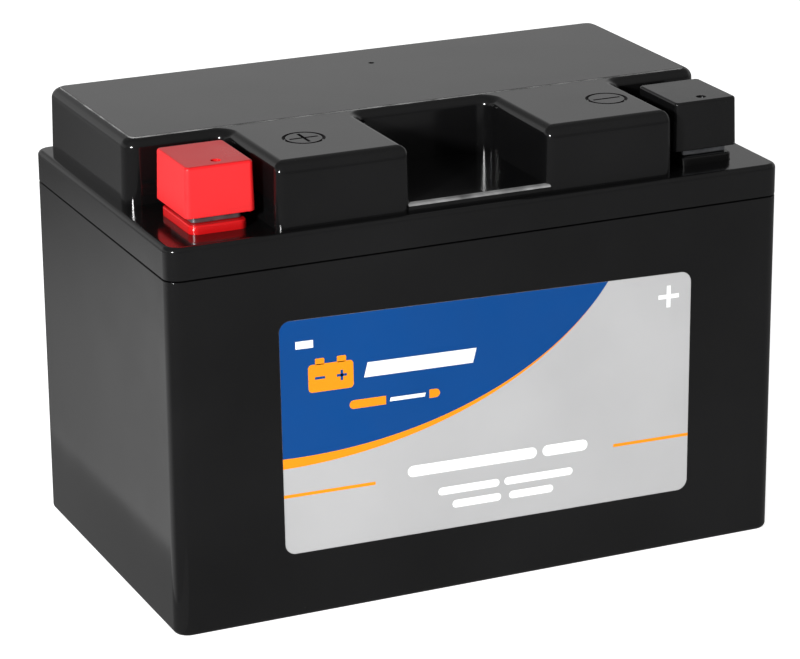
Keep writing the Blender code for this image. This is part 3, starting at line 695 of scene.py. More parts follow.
def pasted_plate(name, dark, light, grid_colour):
    """Active paste in a cast grid: the bars stand out as a lattice through the paste."""
    s = Shader(name, dark, 0.85)
    split = s.node("ShaderNodeSeparateXYZ")
    s.link(s.coords, split.inputs["Vector"])
    bars = []
    for axis, pitch in (("Y", 0.0085), ("Z", 0.0062)):
        ramp = s.maths("PINGPONG", split.outputs[axis], pitch / 2)
        bars.append(s.remap(ramp, 0.0004, 0.0007, 1.0, 0.0))
    lattice = s.maths("MAXIMUM", *bars)
    cloud = s.patches(140.0, 5.0, 0.35, 0.7)
    grains = s.noise(2400.0, 3.0)
    paste = s.mix(cloud, dark, light)
    s.colour(s.mix(s.maths("MULTIPLY", lattice, 0.6), paste, grid_colour))
    s.rough(s.remap(lattice, 0.0, 1.0, 0.9, 0.6))
    s.bump([(grains, 0.00008, 0.6), (lattice, 0.00015, 0.5)])
    return s.material


def glass_mat(name):
    """Matted glass fibre, wet in places with acid."""
    s = Shader(name, (0.86, 0.86, 0.84), 0.95)
    long_fibres = s.noise(900.0, 4.0, (1.0, 6.0, 1.0))
    cross_fibres = s.noise(900.0, 4.0, (1.0, 1.0, 6.0))
    fibres = s.maths("MAXIMUM", long_fibres, cross_fibres)
    damp = s.patches(45.0, 3.0, 0.4, 0.6)
    base = s.mix(fibres, (0.70, 0.70, 0.67), (0.92, 0.92, 0.90))
    s.colour(s.mix(s.maths("MULTIPLY", damp, 0.35), base, (0.62, 0.63, 0.60)))
    s.rough(s.remap(damp, 0.0, 1.0, 0.95, 0.6))
    s.bump([(fibres, 0.0001, 0.6)])
    return s.material


def pale_floor():
    s = Shader("studio_floor", (0.9, 0.9, 0.9), 0.9)
    s.glow(FLOOR_GLOW)
    return s.material


BLACK = (0.0040, 0.0040, 0.0042)
MATERIALS = {
    "case_plastic": moulded_plastic("case_plastic_look", BLACK, 0.14),
    "cover_plastic": moulded_plastic("cover_plastic_look", BLACK, 0.13),
    # painted highlight: pale grey patches standing in for light caught on the plate's edge and the
    # recess lip
    "painted_highlight_edge": painted_highlight_plastic("rubbed_edge_look"),
    "red_cap": moulded_plastic("red_cap_look", (0.86, 0.013, 0.017), 0.30, 0.04),
    "black_cap": moulded_plastic("black_cap_look", (0.0045, 0.0045, 0.0047), 0.22),
    "red_resin": moulded_plastic("red_resin_look", (0.66, 0.006, 0.008), 0.22, 0.10),
    "black_resin": moulded_plastic("black_resin_look", (0.003, 0.003, 0.003), 0.22),
    "lead": lead_metal("lead_look", (0.36, 0.37, 0.39), 0.42),
    "steel": zinc_steel("steel_look"),
    "label_film": printed_film("label_silver_look", (0.440, 0.440, 0.443)),
    "label_blue": printed_film("label_blue_look", (0.0, 0.056, 0.235)),
    "label_orange": printed_film("label_orange_look", (0.880, 0.285, 0.004)),
    "label_white": printed_film("label_white_look", (0.930, 0.930, 0.930)),
    "valve_rubber": valve_rubber("valve_rubber_look"),
    "sintered_disc": porous_disc("sintered_disc_look"),
    "positive_paste": pasted_plate(
        "positive_paste_look", (0.075, 0.030, 0.018), (0.150, 0.070, 0.045), (0.16, 0.15, 0.15)
    ),
    "negative_paste": pasted_plate(
        "negative_paste_look", (0.170, 0.180, 0.190), (0.290, 0.300, 0.310), (0.36, 0.37, 0.38)
    ),
    "glass_mat": glass_mat("glass_mat_look"),
}


# ---- jar


def build_jar():
    bm = bmesh.new()
    top = SEAM_Z - SEAM_GAP / 2
    levels = bottom_fillet(0.0, BASE_FILLET) + top_fillet(top, SEAM_EDGE, steps=2)
    add_moulding(bm, rectangle(LENGTH, DEPTH, CASE_CORNER), levels, 12)
    base = helper("jar_base", bm)
    bm = bmesh.new()
    for i in range(CELLS):
        x = cell_centre(i)
        low = (x - CELL_WIDTH / 2, -CELL_HALF_Y, FLOOR)
        add_box(bm, low, (x + CELL_WIDTH / 2, CELL_HALF_Y, SEAM_Z + OVERLAP))
    cut(base, bm)
    bm = bmesh.new()
    edge = label_outline(-LABEL_CLEARANCE)
    add_loft(bm, [[on_face(x, y, depth) for x, y in edge] for depth in (LABEL_RECESS, -OVERLAP)])
    cut(base, bm)
    finish_piece("case_jar_body", base, "case_plastic", ["case_jar"])


# ---- cover


def raised_corners():
    """Plan of the raised part, anticlockwise from the front left corner of the rear block."""
    left = [
        (-BLOCK_OUTER_X, REAR_FRONT_Y, INNER_CORNER),
        (-BLOCK_OUTER_X, BLOCK_FRONT_Y, BLOCK_CORNER),
        (-BLOCK_INNER_X, BLOCK_FRONT_Y, BLOCK_CORNER),
        (-BLOCK_INNER_X, REAR_FRONT_Y, INNER_CORNER),
    ]
    right = [(-x, y, radius) for x, y, radius in reversed(left)]
    front_left = (-REAR_HALF_X, REAR_FRONT_Y, REAR_CORNER)
    rest = [
        (REAR_HALF_X, REAR_FRONT_Y, REAR_CORNER),
        (REAR_HALF_X, REAR_BACK_Y, REAR_CORNER),
        (-REAR_HALF_X, REAR_BACK_Y, REAR_CORNER),
    ]
    return [front_left] + left + right + rest


def raised_levels():
    """(z, inset of each side) from inside the skirt up to the flat top."""
    corners = raised_corners()
    radii = [RAISED_FILLET] * len(corners)
    for side in BLOCK_FRONT_SIDES:
        radii[side] = BLOCK_FRONT_FILLET
    start_z = LEDGE_Z - OVERLAP
    heights = [start_z] + [z for z, _ in top_fillet(RAISED_Z, BLOCK_FRONT_FILLET, steps=14)]
    levels = []
    for z in heights:
        insets = []
        for radius in radii:
            draft = RAISED_DRAFT * (z - start_z) / (RAISED_Z - start_z)
            up = max(0.0, (z - (RAISED_Z - radius)) / radius)
            insets.append(draft + radius * (1 - math.sqrt(max(0.0, 1 - up * up))))
        levels.append((z, insets))
    return levels


def rear_corners(inset, radius=None):
    depth = REAR_BACK_Y - REAR_FRONT_Y
    middle = (REAR_FRONT_Y + REAR_BACK_Y) / 2
    corners = inset_corners(rectangle(2 * REAR_HALF_X, depth, REAR_CORNER, (0, middle)), inset)
    if radius is None:
        return corners
    return [(x, y, radius) for x, y, _ in corners]


def add_recess_floor(bm):
    half_x = BLOCK_INNER_X + OVERLAP
    back = REAR_FRONT_Y + OVERLAP
    steps = 8
    profile = [(BLOCK_FRONT_Y, LEDGE_Z - OVERLAP)]
    for k in range(steps + 1):
        a = math.pi / 2 * k / steps
        y = BLOCK_FRONT_Y + LIP_FILLET * (1 - math.cos(a))
        profile.append((y, LIP_Z - LIP_FILLET + LIP_FILLET * math.sin(a)))
    profile.append((BLOCK_FRONT_Y + LIP_FILLET + LIP_LAND, LIP_Z + LIP_RISE))
    profile += [(back, LIP_Z + LIP_RISE), (back, LEDGE_Z - OVERLAP)]
    add_loft(bm, [[(side, y, z) for y, z in profile] for side in (-half_x, half_x)])


def add_cover_spaces(bm_skirt, bm_rear, bm_back, bm_front):
    """Each cell's space in the skirt, in the rear block and in the front blocks."""
    wall_y = REAR_FRONT_Y + COVER_WALL
    deep = LEDGE_Z - 2 * COVER_WALL
    for i in range(CELLS):
        left = cell_centre(i) - CELL_WIDTH / 2
        right = left + CELL_WIDTH
        low = (left, -CELL_HALF_Y, SEAM_Z - OVERLAP)
        add_box(bm_skirt, low, (right, CELL_HALF_Y, LEDGE_Z - COVER_WALL))
        inner_left = max(left, -REAR_HALF_X + COVER_WALL)
        inner_right = min(right, REAR_HALF_X - COVER_WALL)
        back_y = REAR_BACK_Y - COVER_WALL
        add_box(bm_rear, (inner_left, wall_y, deep), (inner_right, back_y, TRAY_Z - COVER_WALL))
        low = (inner_left, TRAY_BACK_Y + COVER_WALL, LEDGE_Z)
        add_box(bm_back, low, (inner_right, back_y, SHELF_Z - COVER_WALL))
        for side in (-1, 1):
            inner = BLOCK_INNER_X + COVER_WALL
            outer = BLOCK_OUTER_X - COVER_WALL
            block_left = max(left, inner if side > 0 else -outer)
            block_right = min(right, outer if side > 0 else -inner)
            if block_right - block_left > COVER_WALL:
                low = (block_left, BLOCK_FRONT_Y + COVER_WALL, deep)
                high = (block_right, REAR_FRONT_Y, RAISED_Z - COVER_WALL)
                add_box(bm_front, low, high)


def is_recess_lip(centre, normal):
    """The rounded front edge of the recess's floor, which gets a painted highlight."""
    on_edge = abs(centre.x) < BLOCK_INNER_X and centre.y < BLOCK_FRONT_Y + LIP_FILLET + LIP_LAND
    return on_edge and LIP_Z - LIP_FILLET < centre.z < RAISED_Z - LIP_FILLET and normal.z > 0.45


def is_plate_edge(centre, normal):
    """The plate's upper edge, which gets a painted highlight."""
    return centre.z > HEIGHT - PLATE_EDGE and normal.z < 0.98


def build_cover():
    bm = bmesh.new()
    bottom = SEAM_Z + SEAM_GAP / 2
    levels = bottom_fillet(bottom, SEAM_EDGE, 2) + top_fillet(LEDGE_Z, SKIRT_FILLET, steps=8)
    add_moulding(bm, rectangle(LENGTH, DEPTH, CASE_CORNER), levels, 12)
    base = helper("cover_base", bm)

    bm = bmesh.new()
    add_moulding(bm, raised_corners(), raised_levels(), 10)
    weld(base, bm)
    bm = bmesh.new()
    add_recess_floor(bm)
    weld(base, bm)

    spaces = [bmesh.new() for _ in range(4)]
    add_cover_spaces(*spaces)
    for bm in spaces:
        cut(base, bm)
    cut_valve_tray(base)
    add_chimneys(base)
    cut_terminal_seats(base)
    engrave_marks(base)
    finish_piece("cover_moulding", base, "cover_plastic", ["cover"], highlight_faces=is_recess_lip)


def cut_valve_tray(base):
    top = HEIGHT + OVERLAP
    bm = bmesh.new()
    corners = rear_corners(TRAY_WALL, BLOCK_CORNER)
    add_block(bm, corners, SHELF_Z, top)
    cut(base, bm)
    bm = bmesh.new()
    corners = [(x, min(y, TRAY_BACK_Y), radius) for x, y, radius in corners]
    add_block(bm, corners, TRAY_Z, top)
    cut(base, bm)
    bm = bmesh.new()
    add_block(bm, rear_corners(PLATE_INSET), PLATE_SEAT_Z, top)
    cut(base, bm)


def add_chimneys(base):
    chimneys = bmesh.new()
    bores = bmesh.new()
    for i in range(CELLS):
        centre = (valve_centre(i), CHIMNEY_Y)
        add_post(chimneys, CHIMNEY_RADIUS, centre, TRAY_Z - OVERLAP, CHIMNEY_TOP_Z)
        low = TRAY_Z - COVER_WALL - OVERLAP
        add_post(bores, CHIMNEY_BORE, centre, low, CHIMNEY_TOP_Z + OVERLAP)
    weld(base, chimneys)
    cut(base, bores)


def cut_terminal_seats(base):
    bosses = bmesh.new()
    wells = bmesh.new()
    holes = bmesh.new()
    for side in (-1, 1):
        x = side * TERMINAL_X
        post = (x, POST_Y)
        add_post(bosses, BOSS_RADIUS, post, BOSS_BOTTOM_Z, SEAL_WELL_Z - SEAM_GAP)
        width = SEAL_SIZE[0] + 2 * PLATE_GAP
        depth = SEAL_SIZE[1] + 2 * PLATE_GAP
        corners = rectangle(width, depth, SEAL_CORNER + PLATE_GAP, (x, SEAL_Y))
        add_block(wells, corners, SEAL_WELL_Z, LEDGE_Z + OVERLAP)
        add_post(holes, POST_RADIUS + SEAM_GAP, post, BOSS_BOTTOM_Z - OVERLAP, LEDGE_Z)
    weld(base, bosses)
    cut(base, wells)
    cut(base, holes)


def engrave_marks(base):
    bm = bmesh.new()
    bottom = RAISED_Z - MARK_DEPTH
    top = RAISED_Z + OVERLAP
    inner = MARK_RADIUS - MARK_STROKE
    for x in (PLUS_X, MINUS_X):
        profile = [(inner, bottom), (MARK_RADIUS, bottom), (MARK_RADIUS, top), (inner, top)]
        add_lathe(bm, profile, (x, MARK_Y), FINE_ROUND)
    add_prism(bm, cross_points(MARK_BAR, MARK_STROKE, (PLUS_X, MARK_Y)), bottom, top)
    half = MARK_STROKE / 2
    low = (MINUS_X - MARK_BAR, MARK_Y - half, bottom)
    add_box(bm, low, (MINUS_X + MARK_BAR, MARK_Y + half, top))
    cut(base, bm)


def build_top_plate():
    bm = bmesh.new()
    underside = PLATE_SEAT_Z + SEAM_GAP
    levels = [(underside, 0.0)] + top_fillet(HEIGHT, PLATE_EDGE, steps=4)
    add_moulding(bm, rear_corners(PLATE_INSET + PLATE_GAP), levels)
    base = helper("plate_base", bm)
    bm = bmesh.new()
    for i in range(CELLS):
        centre = (valve_centre(i), CHIMNEY_Y)
        add_post(bm, STOP_RADIUS, centre, STOP_Z, underside + SEAM_GAP)
    weld(base, bm)
    bm = bmesh.new()
    bottom = underside - VENT_RING_DEPTH
    top = underside + SEAM_GAP
    profile = [(VENT_RING_INNER, bottom), (VENT_RING_OUTER, bottom)]
    add_lathe(bm, profile + [(VENT_RING_OUTER, top), (VENT_RING_INNER, top)], VENT)
    weld(base, bm)
    bm = bmesh.new()
    add_post(bm, VENT_RADIUS, VENT, underside - SEAM_GAP, HEIGHT + OVERLAP, TINY_ROUND)
    cut(base, bm)
    finish_piece("top_plate_strip", base, "cover_plastic", ["top_plate"], highlight_faces=is_plate_edge)


# ---- terminals


def build_terminal_cover(side, polarity, slot):
    bm = bmesh.new()
    corners = rectangle(*CAP_SIZE, CAP_CORNER + CAP_DRAFT, (side * CAP_X, CAP_Y))
    levels = bottom_fillet(CAP_BOTTOM_Z, CAP_RIM, 3)
    levels += top_fillet(CAP_TOP_Z, CAP_FILLET, CAP_DRAFT)
    add_moulding(bm, corners, levels, 8)
    base = helper("cap_base", bm)
    bm = bmesh.new()
    width = CAP_SIZE[0] - 2 * CAP_WALL
    depth = CAP_SIZE[1] - 2 * CAP_WALL
    inside = rectangle(width, depth, CAP_CORNER, (side * CAP_X, CAP_Y))
    bottom = outline(inside, CAP_BOTTOM_Z - OVERLAP)
    add_loft(bm, [bottom, outline(inset_corners(inside, CAP_DRAFT), CAP_ROOF_Z)])
    cut(base, bm)
    bm = bmesh.new()
    front = CAP_Y - CAP_SIZE[1] / 2 + CAP_DRAFT
    dimple = (side * CAP_X + DIMPLE_SHIFT, front + DIMPLE_BACK)
    low = CAP_TOP_Z - DIMPLE_DEPTH
    add_post(bm, DIMPLE_RADIUS, dimple, low, CAP_TOP_Z + OVERLAP, TINY_ROUND)
    cut(base, bm)
    node = f"terminal_cover_{polarity}"
    finish_piece(f"terminal_cap_{polarity}", base, slot, [node], f"{polarity}_cover")


def build_terminal(side, polarity):
    x = side * TERMINAL_X
    bottom = SEAL_TOP_Z + TERMINAL_GAP
    bm = bmesh.new()
    corners = rectangle(*TERMINAL_SIZE, TERMINAL_CORNER, (x, TERMINAL_Y))
    levels = bottom_fillet(bottom, TERMINAL_FOOT_FILLET, 2)
    levels += top_fillet(TERMINAL_TOP_Z, TERMINAL_TOP_FILLET, steps=4)
    add_moulding(bm, corners, levels, 6)
    base = helper("terminal_base", bm)
    bm = bmesh.new()
    add_post(bm, POST_RADIUS, (x, POST_Y), POST_BOTTOM_Z, bottom + OVERLAP)
    weld(base, bm)
    bm = bmesh.new()
    half = NUT_SIZE / 2 + SEAM_GAP
    low = (x - half, SCREW_Y - half, NUT_Z - SEAM_GAP)
    high = (x + half, TERMINAL_Y + TERMINAL_SIZE[1], NUT_Z + NUT_THICKNESS + SEAM_GAP)
    add_box(bm, low, high)
    cut(base, bm)
    bm = bmesh.new()
    low = SCREW_TIP_Z - SEAM_GAP
    high = TERMINAL_TOP_Z + OVERLAP
    add_post(bm, SCREW_RADIUS + SEAM_GAP, (x, SCREW_Y), low, high, SMALL_ROUND)
    cut(base, bm)
    bm = bmesh.new()
    hole_z = NUT_Z + NUT_THICKNESS / 2
    start = (x, TERMINAL_Y - TERMINAL_SIZE[1], hole_z)
    end = (x, SCREW_Y - half + SEAM_GAP, hole_z)
    add_rod(bm, NUT_THICKNESS / 2, start, end, SMALL_ROUND)
    cut(base, bm)
    name = f"terminal_{polarity}"
    finish_piece(f"{name}_lead", base, "lead", [name], edge=TERMINAL_EDGE)


def build_seal(side, polarity, slot):
    x = side * TERMINAL_X
    bm = bmesh.new()
    levels = [(SEAL_WELL_Z + SEAM_GAP, 0.0)] + top_fillet(SEAL_TOP_Z, SEAL_FILLET, steps=5)
    add_moulding(bm, rectangle(*SEAL_SIZE, SEAL_CORNER, (x, SEAL_Y)), levels)
    base = helper("seal_base", bm)
    bm = bmesh.new()
    add_post(bm, POST_RADIUS + SEAM_GAP, (x, POST_Y), SEAL_WELL_Z, SEAL_TOP_Z + OVERLAP)
    cut(base, bm)
    name = f"terminal_seal_{polarity}"
    finish_piece(f"{name}_pad", base, slot, [name])


def build_nut(side, polarity):
    x = side * TERMINAL_X
    half = NUT_SIZE / 2
    bm = bmesh.new()
    corners = rectangle(NUT_SIZE, NUT_SIZE, NUT_CORNER, (x, SCREW_Y))
    chamfer = NUT_CHAMFER
    top = NUT_Z + NUT_THICKNESS
    levels = [(NUT_Z, chamfer), (NUT_Z + chamfer, 0.0), (top - chamfer, 0.0), (top, chamfer)]
    add_moulding(bm, corners, levels, 3)
    base = helper("nut_base", bm)
    bm = bmesh.new()
    hole = SCREW_RADIUS + SEAM_GAP
    add_post(bm, hole, (x, SCREW_Y), NUT_Z - half, top + half, SMALL_ROUND)
    cut(base, bm)
    name = f"terminal_nut_{polarity}"
    finish_piece(f"{name}_square", base, "steel", [name])


def build_screw(side, polarity):
    """A pan-head screw: domed head, cross recess and a thread cut as close rings."""
    seat = TERMINAL_TOP_Z + SEAM_GAP
    x = side * TERMINAL_X
    z = SCREW_TIP_Z + SCREW_LEAD_IN
    profile = [(SCREW_TIP_RADIUS, SCREW_TIP_Z), (SCREW_START_RADIUS, z)]
    root = SCREW_RADIUS - THREAD_DEPTH
    while z + THREAD_PITCH < seat - SCREW_LEAD_IN:
        profile += [(root, z + THREAD_ROOT), (SCREW_RADIUS, z + THREAD_PITCH / 2)]
        z += THREAD_PITCH
    profile += [(root, z + THREAD_ROOT), (root, seat), (SCREW_HEAD_RADIUS - HEAD_CHAMFER, seat)]
    rim = seat + HEAD_RIM
    profile += [(SCREW_HEAD_RADIUS, seat + HEAD_CHAMFER), (SCREW_HEAD_RADIUS, rim)]
    steps = 7
    for k in range(1, steps + 1):
        a = math.pi / 2 * k / steps
        radius = HEAD_TOP_RADIUS + (SCREW_HEAD_RADIUS - HEAD_TOP_RADIUS) * math.cos(a)
        profile.append((radius, rim + (SCREW_HEAD - HEAD_RIM) * math.sin(a)))
    turns = [2 * math.pi * k / ROUND for k in range(ROUND)]
    round_points = [(math.cos(a), math.sin(a)) for a in turns]
    rings = [
        [(x + radius * cos, SCREW_Y + radius * sin, level) for cos, sin in round_points]
        for radius, level in profile
    ]
    bm = bmesh.new()
    add_loft(bm, rings)
    base = helper("screw_base", bm)
    bm = bmesh.new()
    wide = cross_points(*CROSS_WIDE, (x, SCREW_Y))
    narrow = cross_points(*CROSS_NARROW, (x, SCREW_Y))
    low = seat + CROSS_BOTTOM
    high = seat + SCREW_HEAD + CROSS_TOP
    add_loft(bm, [[(px, py, low) for px, py in narrow], [(px, py, high) for px, py in wide]])
    cut(base, bm)
    name = f"terminal_screw_{polarity}"
    finish_piece(f"{name}_thread", base, "steel", [name])


# ---- label


def on_face(x, y, depth):
    """From the label's plane (x right and y up from its lower left corner) to the jar's front."""
    u = x / LABEL_SIZE[0]
    v = y / LABEL_SIZE[1]
    low = LABEL_LOW_LEFT.lerp(LABEL_LOW_RIGHT, u)
    high = LABEL_TOP_LEFT.lerp(LABEL_TOP_RIGHT, u)
    point = low.lerp(high, v)
    return (point.x, -DEPTH / 2 + depth, point.y)


def label_outline(inset=0.0):
    width, height = LABEL_SIZE
    corners = rectangle(width, height, LABEL_CORNER, (width / 2, height / 2))
    return [(x, y) for x, y, _ in outline(inset_corners(corners, inset), 0.0, 10)]


def clip_to_label(points, inset=0.0):
    """The part of a flat shape inside the label's rounded outline."""
    clipped = [Vector(p) for p in points]
    border = [Vector(p) for p in label_outline(inset)]
    for a, b in zip(border, border[1:] + border[:1]):
        along = b - a
        if along.length < LABEL_CORNER * 0.001:
            continue
        side = [along.x * (p.y - a.y) - along.y * (p.x - a.x) for p in clipped]
        kept = []
        for i, p in enumerate(clipped):
            j = (i + 1) % len(clipped)
            if side[i] >= 0:
                kept.append(p)
            if (side[i] >= 0) != (side[j] >= 0):
                kept.append(p.lerp(clipped[j], side[i] / (side[i] - side[j])))
        clipped = kept
    return [(p.x, p.y) for p in clipped]


def print_layer(name, shapes, layer, look):
    """Flat shapes of one ink colour, lying on the label. Shapes are in millimetres."""
    bm = bmesh.new()
    for shape in shapes:
        points = [(x * MM, y * MM) for x, y in shape]
        points = clip_to_label(points, LABEL_EDGE)
        bm.faces.new([bm.verts.new((x, y, 0.0)) for x, y in points])
    bm.normal_update()
    bmesh.ops.triangulate(bm, faces=bm.faces)
    depth = LABEL_FACE_DEPTH - layer * INK
    for vert in bm.verts:
        vert.co = on_face(vert.co.x, vert.co.y, depth)
    bm.normal_update()
    for face in bm.faces:
        if face.normal.y > 0:
            face.normal_flip()
    mesh = bpy.data.meshes.new(name)
    bm.to_mesh(mesh)
    bm.free()
    mesh.materials.append(MATERIALS[look])
    obj = new_object(name, mesh)
    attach(obj, "case")


def field_edge(x):
    """Height of the coloured field's lower edge: a long arc that climbs to the right."""
    share = (x - FIELD_CENTRE[0]) / FIELD_RADII[0]
    return FIELD_CENTRE[1] - FIELD_RADII[1] * math.sqrt(max(0.0, 1 - share * share))


def field_shape(border):
    """The field, with its edge lowered by a border that thins out towards the right."""
    top = LABEL_SIZE[1] / MM + 1
    points = []
    for k in range(FIELD_STEPS + 1):
        x = FIELD_END * k / FIELD_STEPS - 1.0
        thickness = border * max(0.0, 1 - max(0.0, x) / BORDER_END)
        points.append((x, field_edge(x) - thickness))
    points.append((FIELD_END + 1.0, top))
    points.append((-1.0, top))
    return points


def bar(x, y, width, height, lean=0.0):
    """A bar from its lower left corner, its top pushed to the right by lean."""
    return [(x, y), (x + width, y), (x + width + lean, y + height), (x + lean, y + height)]


def pill(x, y, width, height, left=True, right=True, steps=10):
    """A bar with one or both ends rounded."""
    radius = height / 2
    points = []
    if left:
        for k in range(steps + 1):
            a = math.pi / 2 + math.pi * k / steps
            points.append((x + radius + radius * math.cos(a), y + radius + radius * math.sin(a)))
    else:
        points += [(x, y + height), (x, y)]
    if right:
        for k in range(steps + 1):
            a = -math.pi / 2 + math.pi * k / steps
            cx = x + width - radius
            points.append((cx + radius * math.cos(a), y + radius + radius * math.sin(a)))
    else:
        points += [(x + width, y), (x + width, y + height)]
    return points


def soft_box(x, y, width, height, radius):
    corners = rectangle(width, height, radius, (x + width / 2, y + height / 2))
    return [(px, py) for px, py, _ in outline(corners, 0.0, 5)]


def build_label():
    rings = [
        (0.0, LABEL_BACK_DEPTH),
        (0.0, LABEL_FACE_DEPTH + LABEL_EDGE),
        (LABEL_EDGE, LABEL_FACE_DEPTH),
    ]
    bm = bmesh.new()
    add_loft(bm, [[on_face(x, y, depth) for x, y in label_outline(inset)] for inset, depth in rings])
    base = helper("label_base", bm)
    finish_piece("front_label_film", base, "label_film", ["front_label"])

    print_layer("label_field_border", [field_shape(BORDER_WIDTH)], 1, "label_orange")
    print_layer("label_field", [field_shape(0.0)], 2, "label_blue")
    print_layer("label_lines", [bar(*line) for line in LINES], 1, "label_orange")

    symbol = [soft_box(*box) for box in BATTERY_BOXES]
    symbol += [pill(*LEFT_UNDERLINE, right=False), pill(*RIGHT_UNDERLINE, left=False)]
    print_layer("label_symbol", symbol, 3, "label_orange")
    print_layer("label_symbol_signs", [bar(*sign) for sign in BATTERY_SIGNS], 4, "label_blue")

    white = [bar(*MINUS_BAR), cross_points(*PLUS_SIGN)]
    white += [bar(*name_bar) for name_bar in NAME_BARS]
    white += [pill(*text_bar) for text_bar in TEXT_BARS]
    print_layer("label_white", white, 5, "label_white")


def build_all():
    build_jar()
    build_cover()
    build_top_plate()
    build_label()
    for side, polarity, cap_slot, seal_slot in (
        (-1, "positive", "red_cap", "red_resin"),
        (1, "negative", "black_cap", "black_resin"),
    ):
        build_terminal_cover(side, polarity, cap_slot)
        build_terminal(side, polarity)
        build_seal(side, polarity, seal_slot)
        build_nut(side, polarity)
        build_screw(side, polarity)


def dress_cad_nodes():
    """Gives each carried-over solid the detailed material of its slot."""
    slots = {entry["node"]: entry["material_slot"] for entry in frame["record"]["subparts"]}
    for node, obj in frame["nodes"].items():
        obj.data.materials.clear()
        obj.data.materials.append(MATERIALS[slots[node]])


# ---- studio


def flat_sheet(name, low, high, z, material):
    corners = [low, (high[0], low[1]), high, (low[0], high[1])]
    mesh = bpy.data.meshes.new(name)
    mesh.from_pydata([(x, y, z) for x, y in corners], [], [(0, 1, 2, 3)])
    mesh.materials.append(material)
    return new_object(name, mesh)


def build_studio():
    reach = FLOOR_SIZE
    floor = flat_sheet("studio_floor", (-reach, -reach), (reach, reach), 0.0, pale_floor())
    floor.visible_glossy = False

    s = Shader("floor_shade", (0.0, 0.0, 0.0), 1.0)
    s.glow(SHADE_LIGHT)
    right = -LENGTH / 2
    low = (right - SHADE_WIDTH, -DEPTH)
    shade = flat_sheet("floor_shade", low, (right, DEPTH * 2), SEAM_GAP, s.material)
    shade.visible_camera = False
    shade.visible_diffuse = False
    shade.visible_shadow = False


def direction_to(azimuth, elevation):
    """From the object towards a light or camera. Azimuth 0 is the front, and both are in degrees."""
    a = math.radians(azimuth)
    e = math.radians(elevation)
    return Vector((math.sin(a) * math.cos(e), -math.cos(a) * math.cos(e), math.sin(e)))


def build_key_light():
    light = bpy.data.lights.new("key", "AREA")
    light.shape = "DISK"
    light.size = KEY_SIZE
    light.energy = KEY_POWER
    obj = new_object("key", light)
    direction = direction_to(KEY_AZIMUTH, KEY_ELEVATION)
    obj.location = Vector(KEY_TARGET) + direction * KEY_DISTANCE
    obj.rotation_euler = direction.to_track_quat("Z", "Y").to_euler()


class WorldMaths(Nodes):
    """The world's light as maths on a direction."""

    def ramp(self, source, low, high, at_low, at_high):
        return self.remap(source, low, high, at_low, at_high, "SMOOTHSTEP")

    def across(self, x, y, towards):
        """How far a direction leans towards a heading, from -1 to 1."""
        a = math.radians(towards)
        east = self.maths("MULTIPLY", x, math.sin(a))
        north = self.maths("MULTIPLY", y, -math.cos(a))
        return self.maths("ADD", east, north)

    def blend(self, share, first, second):
        """first where share is 0 and second where it is 1; each is a value or a number."""
        rest = self.maths("SUBTRACT", 1.0, share)
        return self.maths(
            "ADD", self.maths("MULTIPLY", rest, first), self.maths("MULTIPLY", share, second)
        )


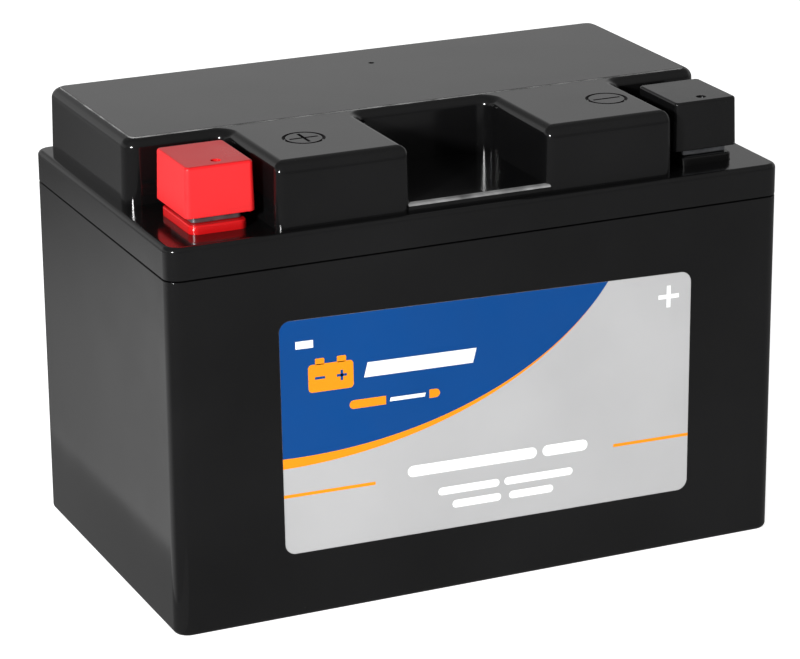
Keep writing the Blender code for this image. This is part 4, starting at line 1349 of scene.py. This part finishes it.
def build_world():
    """White for the camera. What lights the object is a soft band all round, dimmer below."""
    world = bpy.data.worlds.new("studio")
    bpy.context.scene.world = world
    world.use_nodes = True
    tree = world.node_tree
    tree.nodes.clear()
    w = WorldMaths(tree)
    output = tree.nodes.new("ShaderNodeOutputWorld")
    seen = tree.nodes.new("ShaderNodeBackground")
    seen.inputs["Color"].default_value = (1, 1, 1, 1)
    lit = tree.nodes.new("ShaderNodeBackground")
    path = tree.nodes.new("ShaderNodeLightPath")
    mixer = tree.nodes.new("ShaderNodeMixShader")
    w.link(path.outputs["Is Camera Ray"], mixer.inputs["Fac"])
    w.link(lit.outputs["Background"], mixer.inputs[1])
    w.link(seen.outputs["Background"], mixer.inputs[2])
    w.link(mixer.outputs["Shader"], output.inputs["Surface"])
    coords = tree.nodes.new("ShaderNodeTexCoord")
    split = tree.nodes.new("ShaderNodeSeparateXYZ")
    w.link(coords.outputs["Generated"], split.inputs["Vector"])
    x, y, z = (split.outputs[axis] for axis in "XYZ")

    to_right = w.ramp(w.across(x, y, RIGHT_HEADING), 0.80, 0.95, 0.0, 1.0)
    back_band = w.blend(to_right, BACK_LIGHT, RIGHT_LIGHT)
    back = w.blend(w.ramp(z, 0.30, 0.50, 0.0, 1.0), back_band, OVERHEAD_LIGHT)
    front = w.ramp(z, 0.15, 0.55, FRONT_LOW_LIGHT, FRONT_HIGH_LIGHT)
    upper = w.blend(w.ramp(y, -0.35, 0.25, 0.0, 1.0), front, back)

    side = w.ramp(w.across(x, y, LEFT_HEADING), -0.035, 0.035, FLOOR_LEFT_LOW, FLOOR_LEFT_HIGH)
    level = w.ramp(z, -0.325, -0.27, 1.0, FLOOR_FAR_SHARE)
    left_floor = w.maths("MULTIPLY", side, level)
    to_front = w.ramp(w.across(x, y, FRONT_HEADING), 0.2, 0.8, 0.0, 1.0)
    lower = w.blend(to_front, FLOOR_FRONT_LIGHT, left_floor)
    above = w.ramp(z, -0.02, 0.02, 0.0, 1.0)
    w.link(w.blend(above, lower, upper), lit.inputs["Strength"])


def build_camera():
    camera = bpy.data.cameras.new("camera")
    camera.lens = LENS
    camera.sensor_width = 36.0
    camera.clip_start = 0.01
    obj = new_object("camera", camera)
    back = direction_to(CAMERA_AZIMUTH, CAMERA_ELEVATION)
    right = Vector((0, 0, 1)).cross(back).normalized()
    up = back.cross(right)
    turned_right = right * math.cos(CAMERA_ROLL) + up * math.sin(CAMERA_ROLL)
    turned_up = up * math.cos(CAMERA_ROLL) - right * math.sin(CAMERA_ROLL)
    axes = Matrix((turned_right, turned_up, back)).transposed().to_4x4()
    obj.matrix_world = Matrix.Translation(CAMERA_POSITION) @ axes
    bpy.context.scene.camera = obj


build_all()
dress_cad_nodes()
build_studio()
build_world()
build_key_light()
build_camera()
bpy.context.scene.view_settings.view_transform = "Standard"
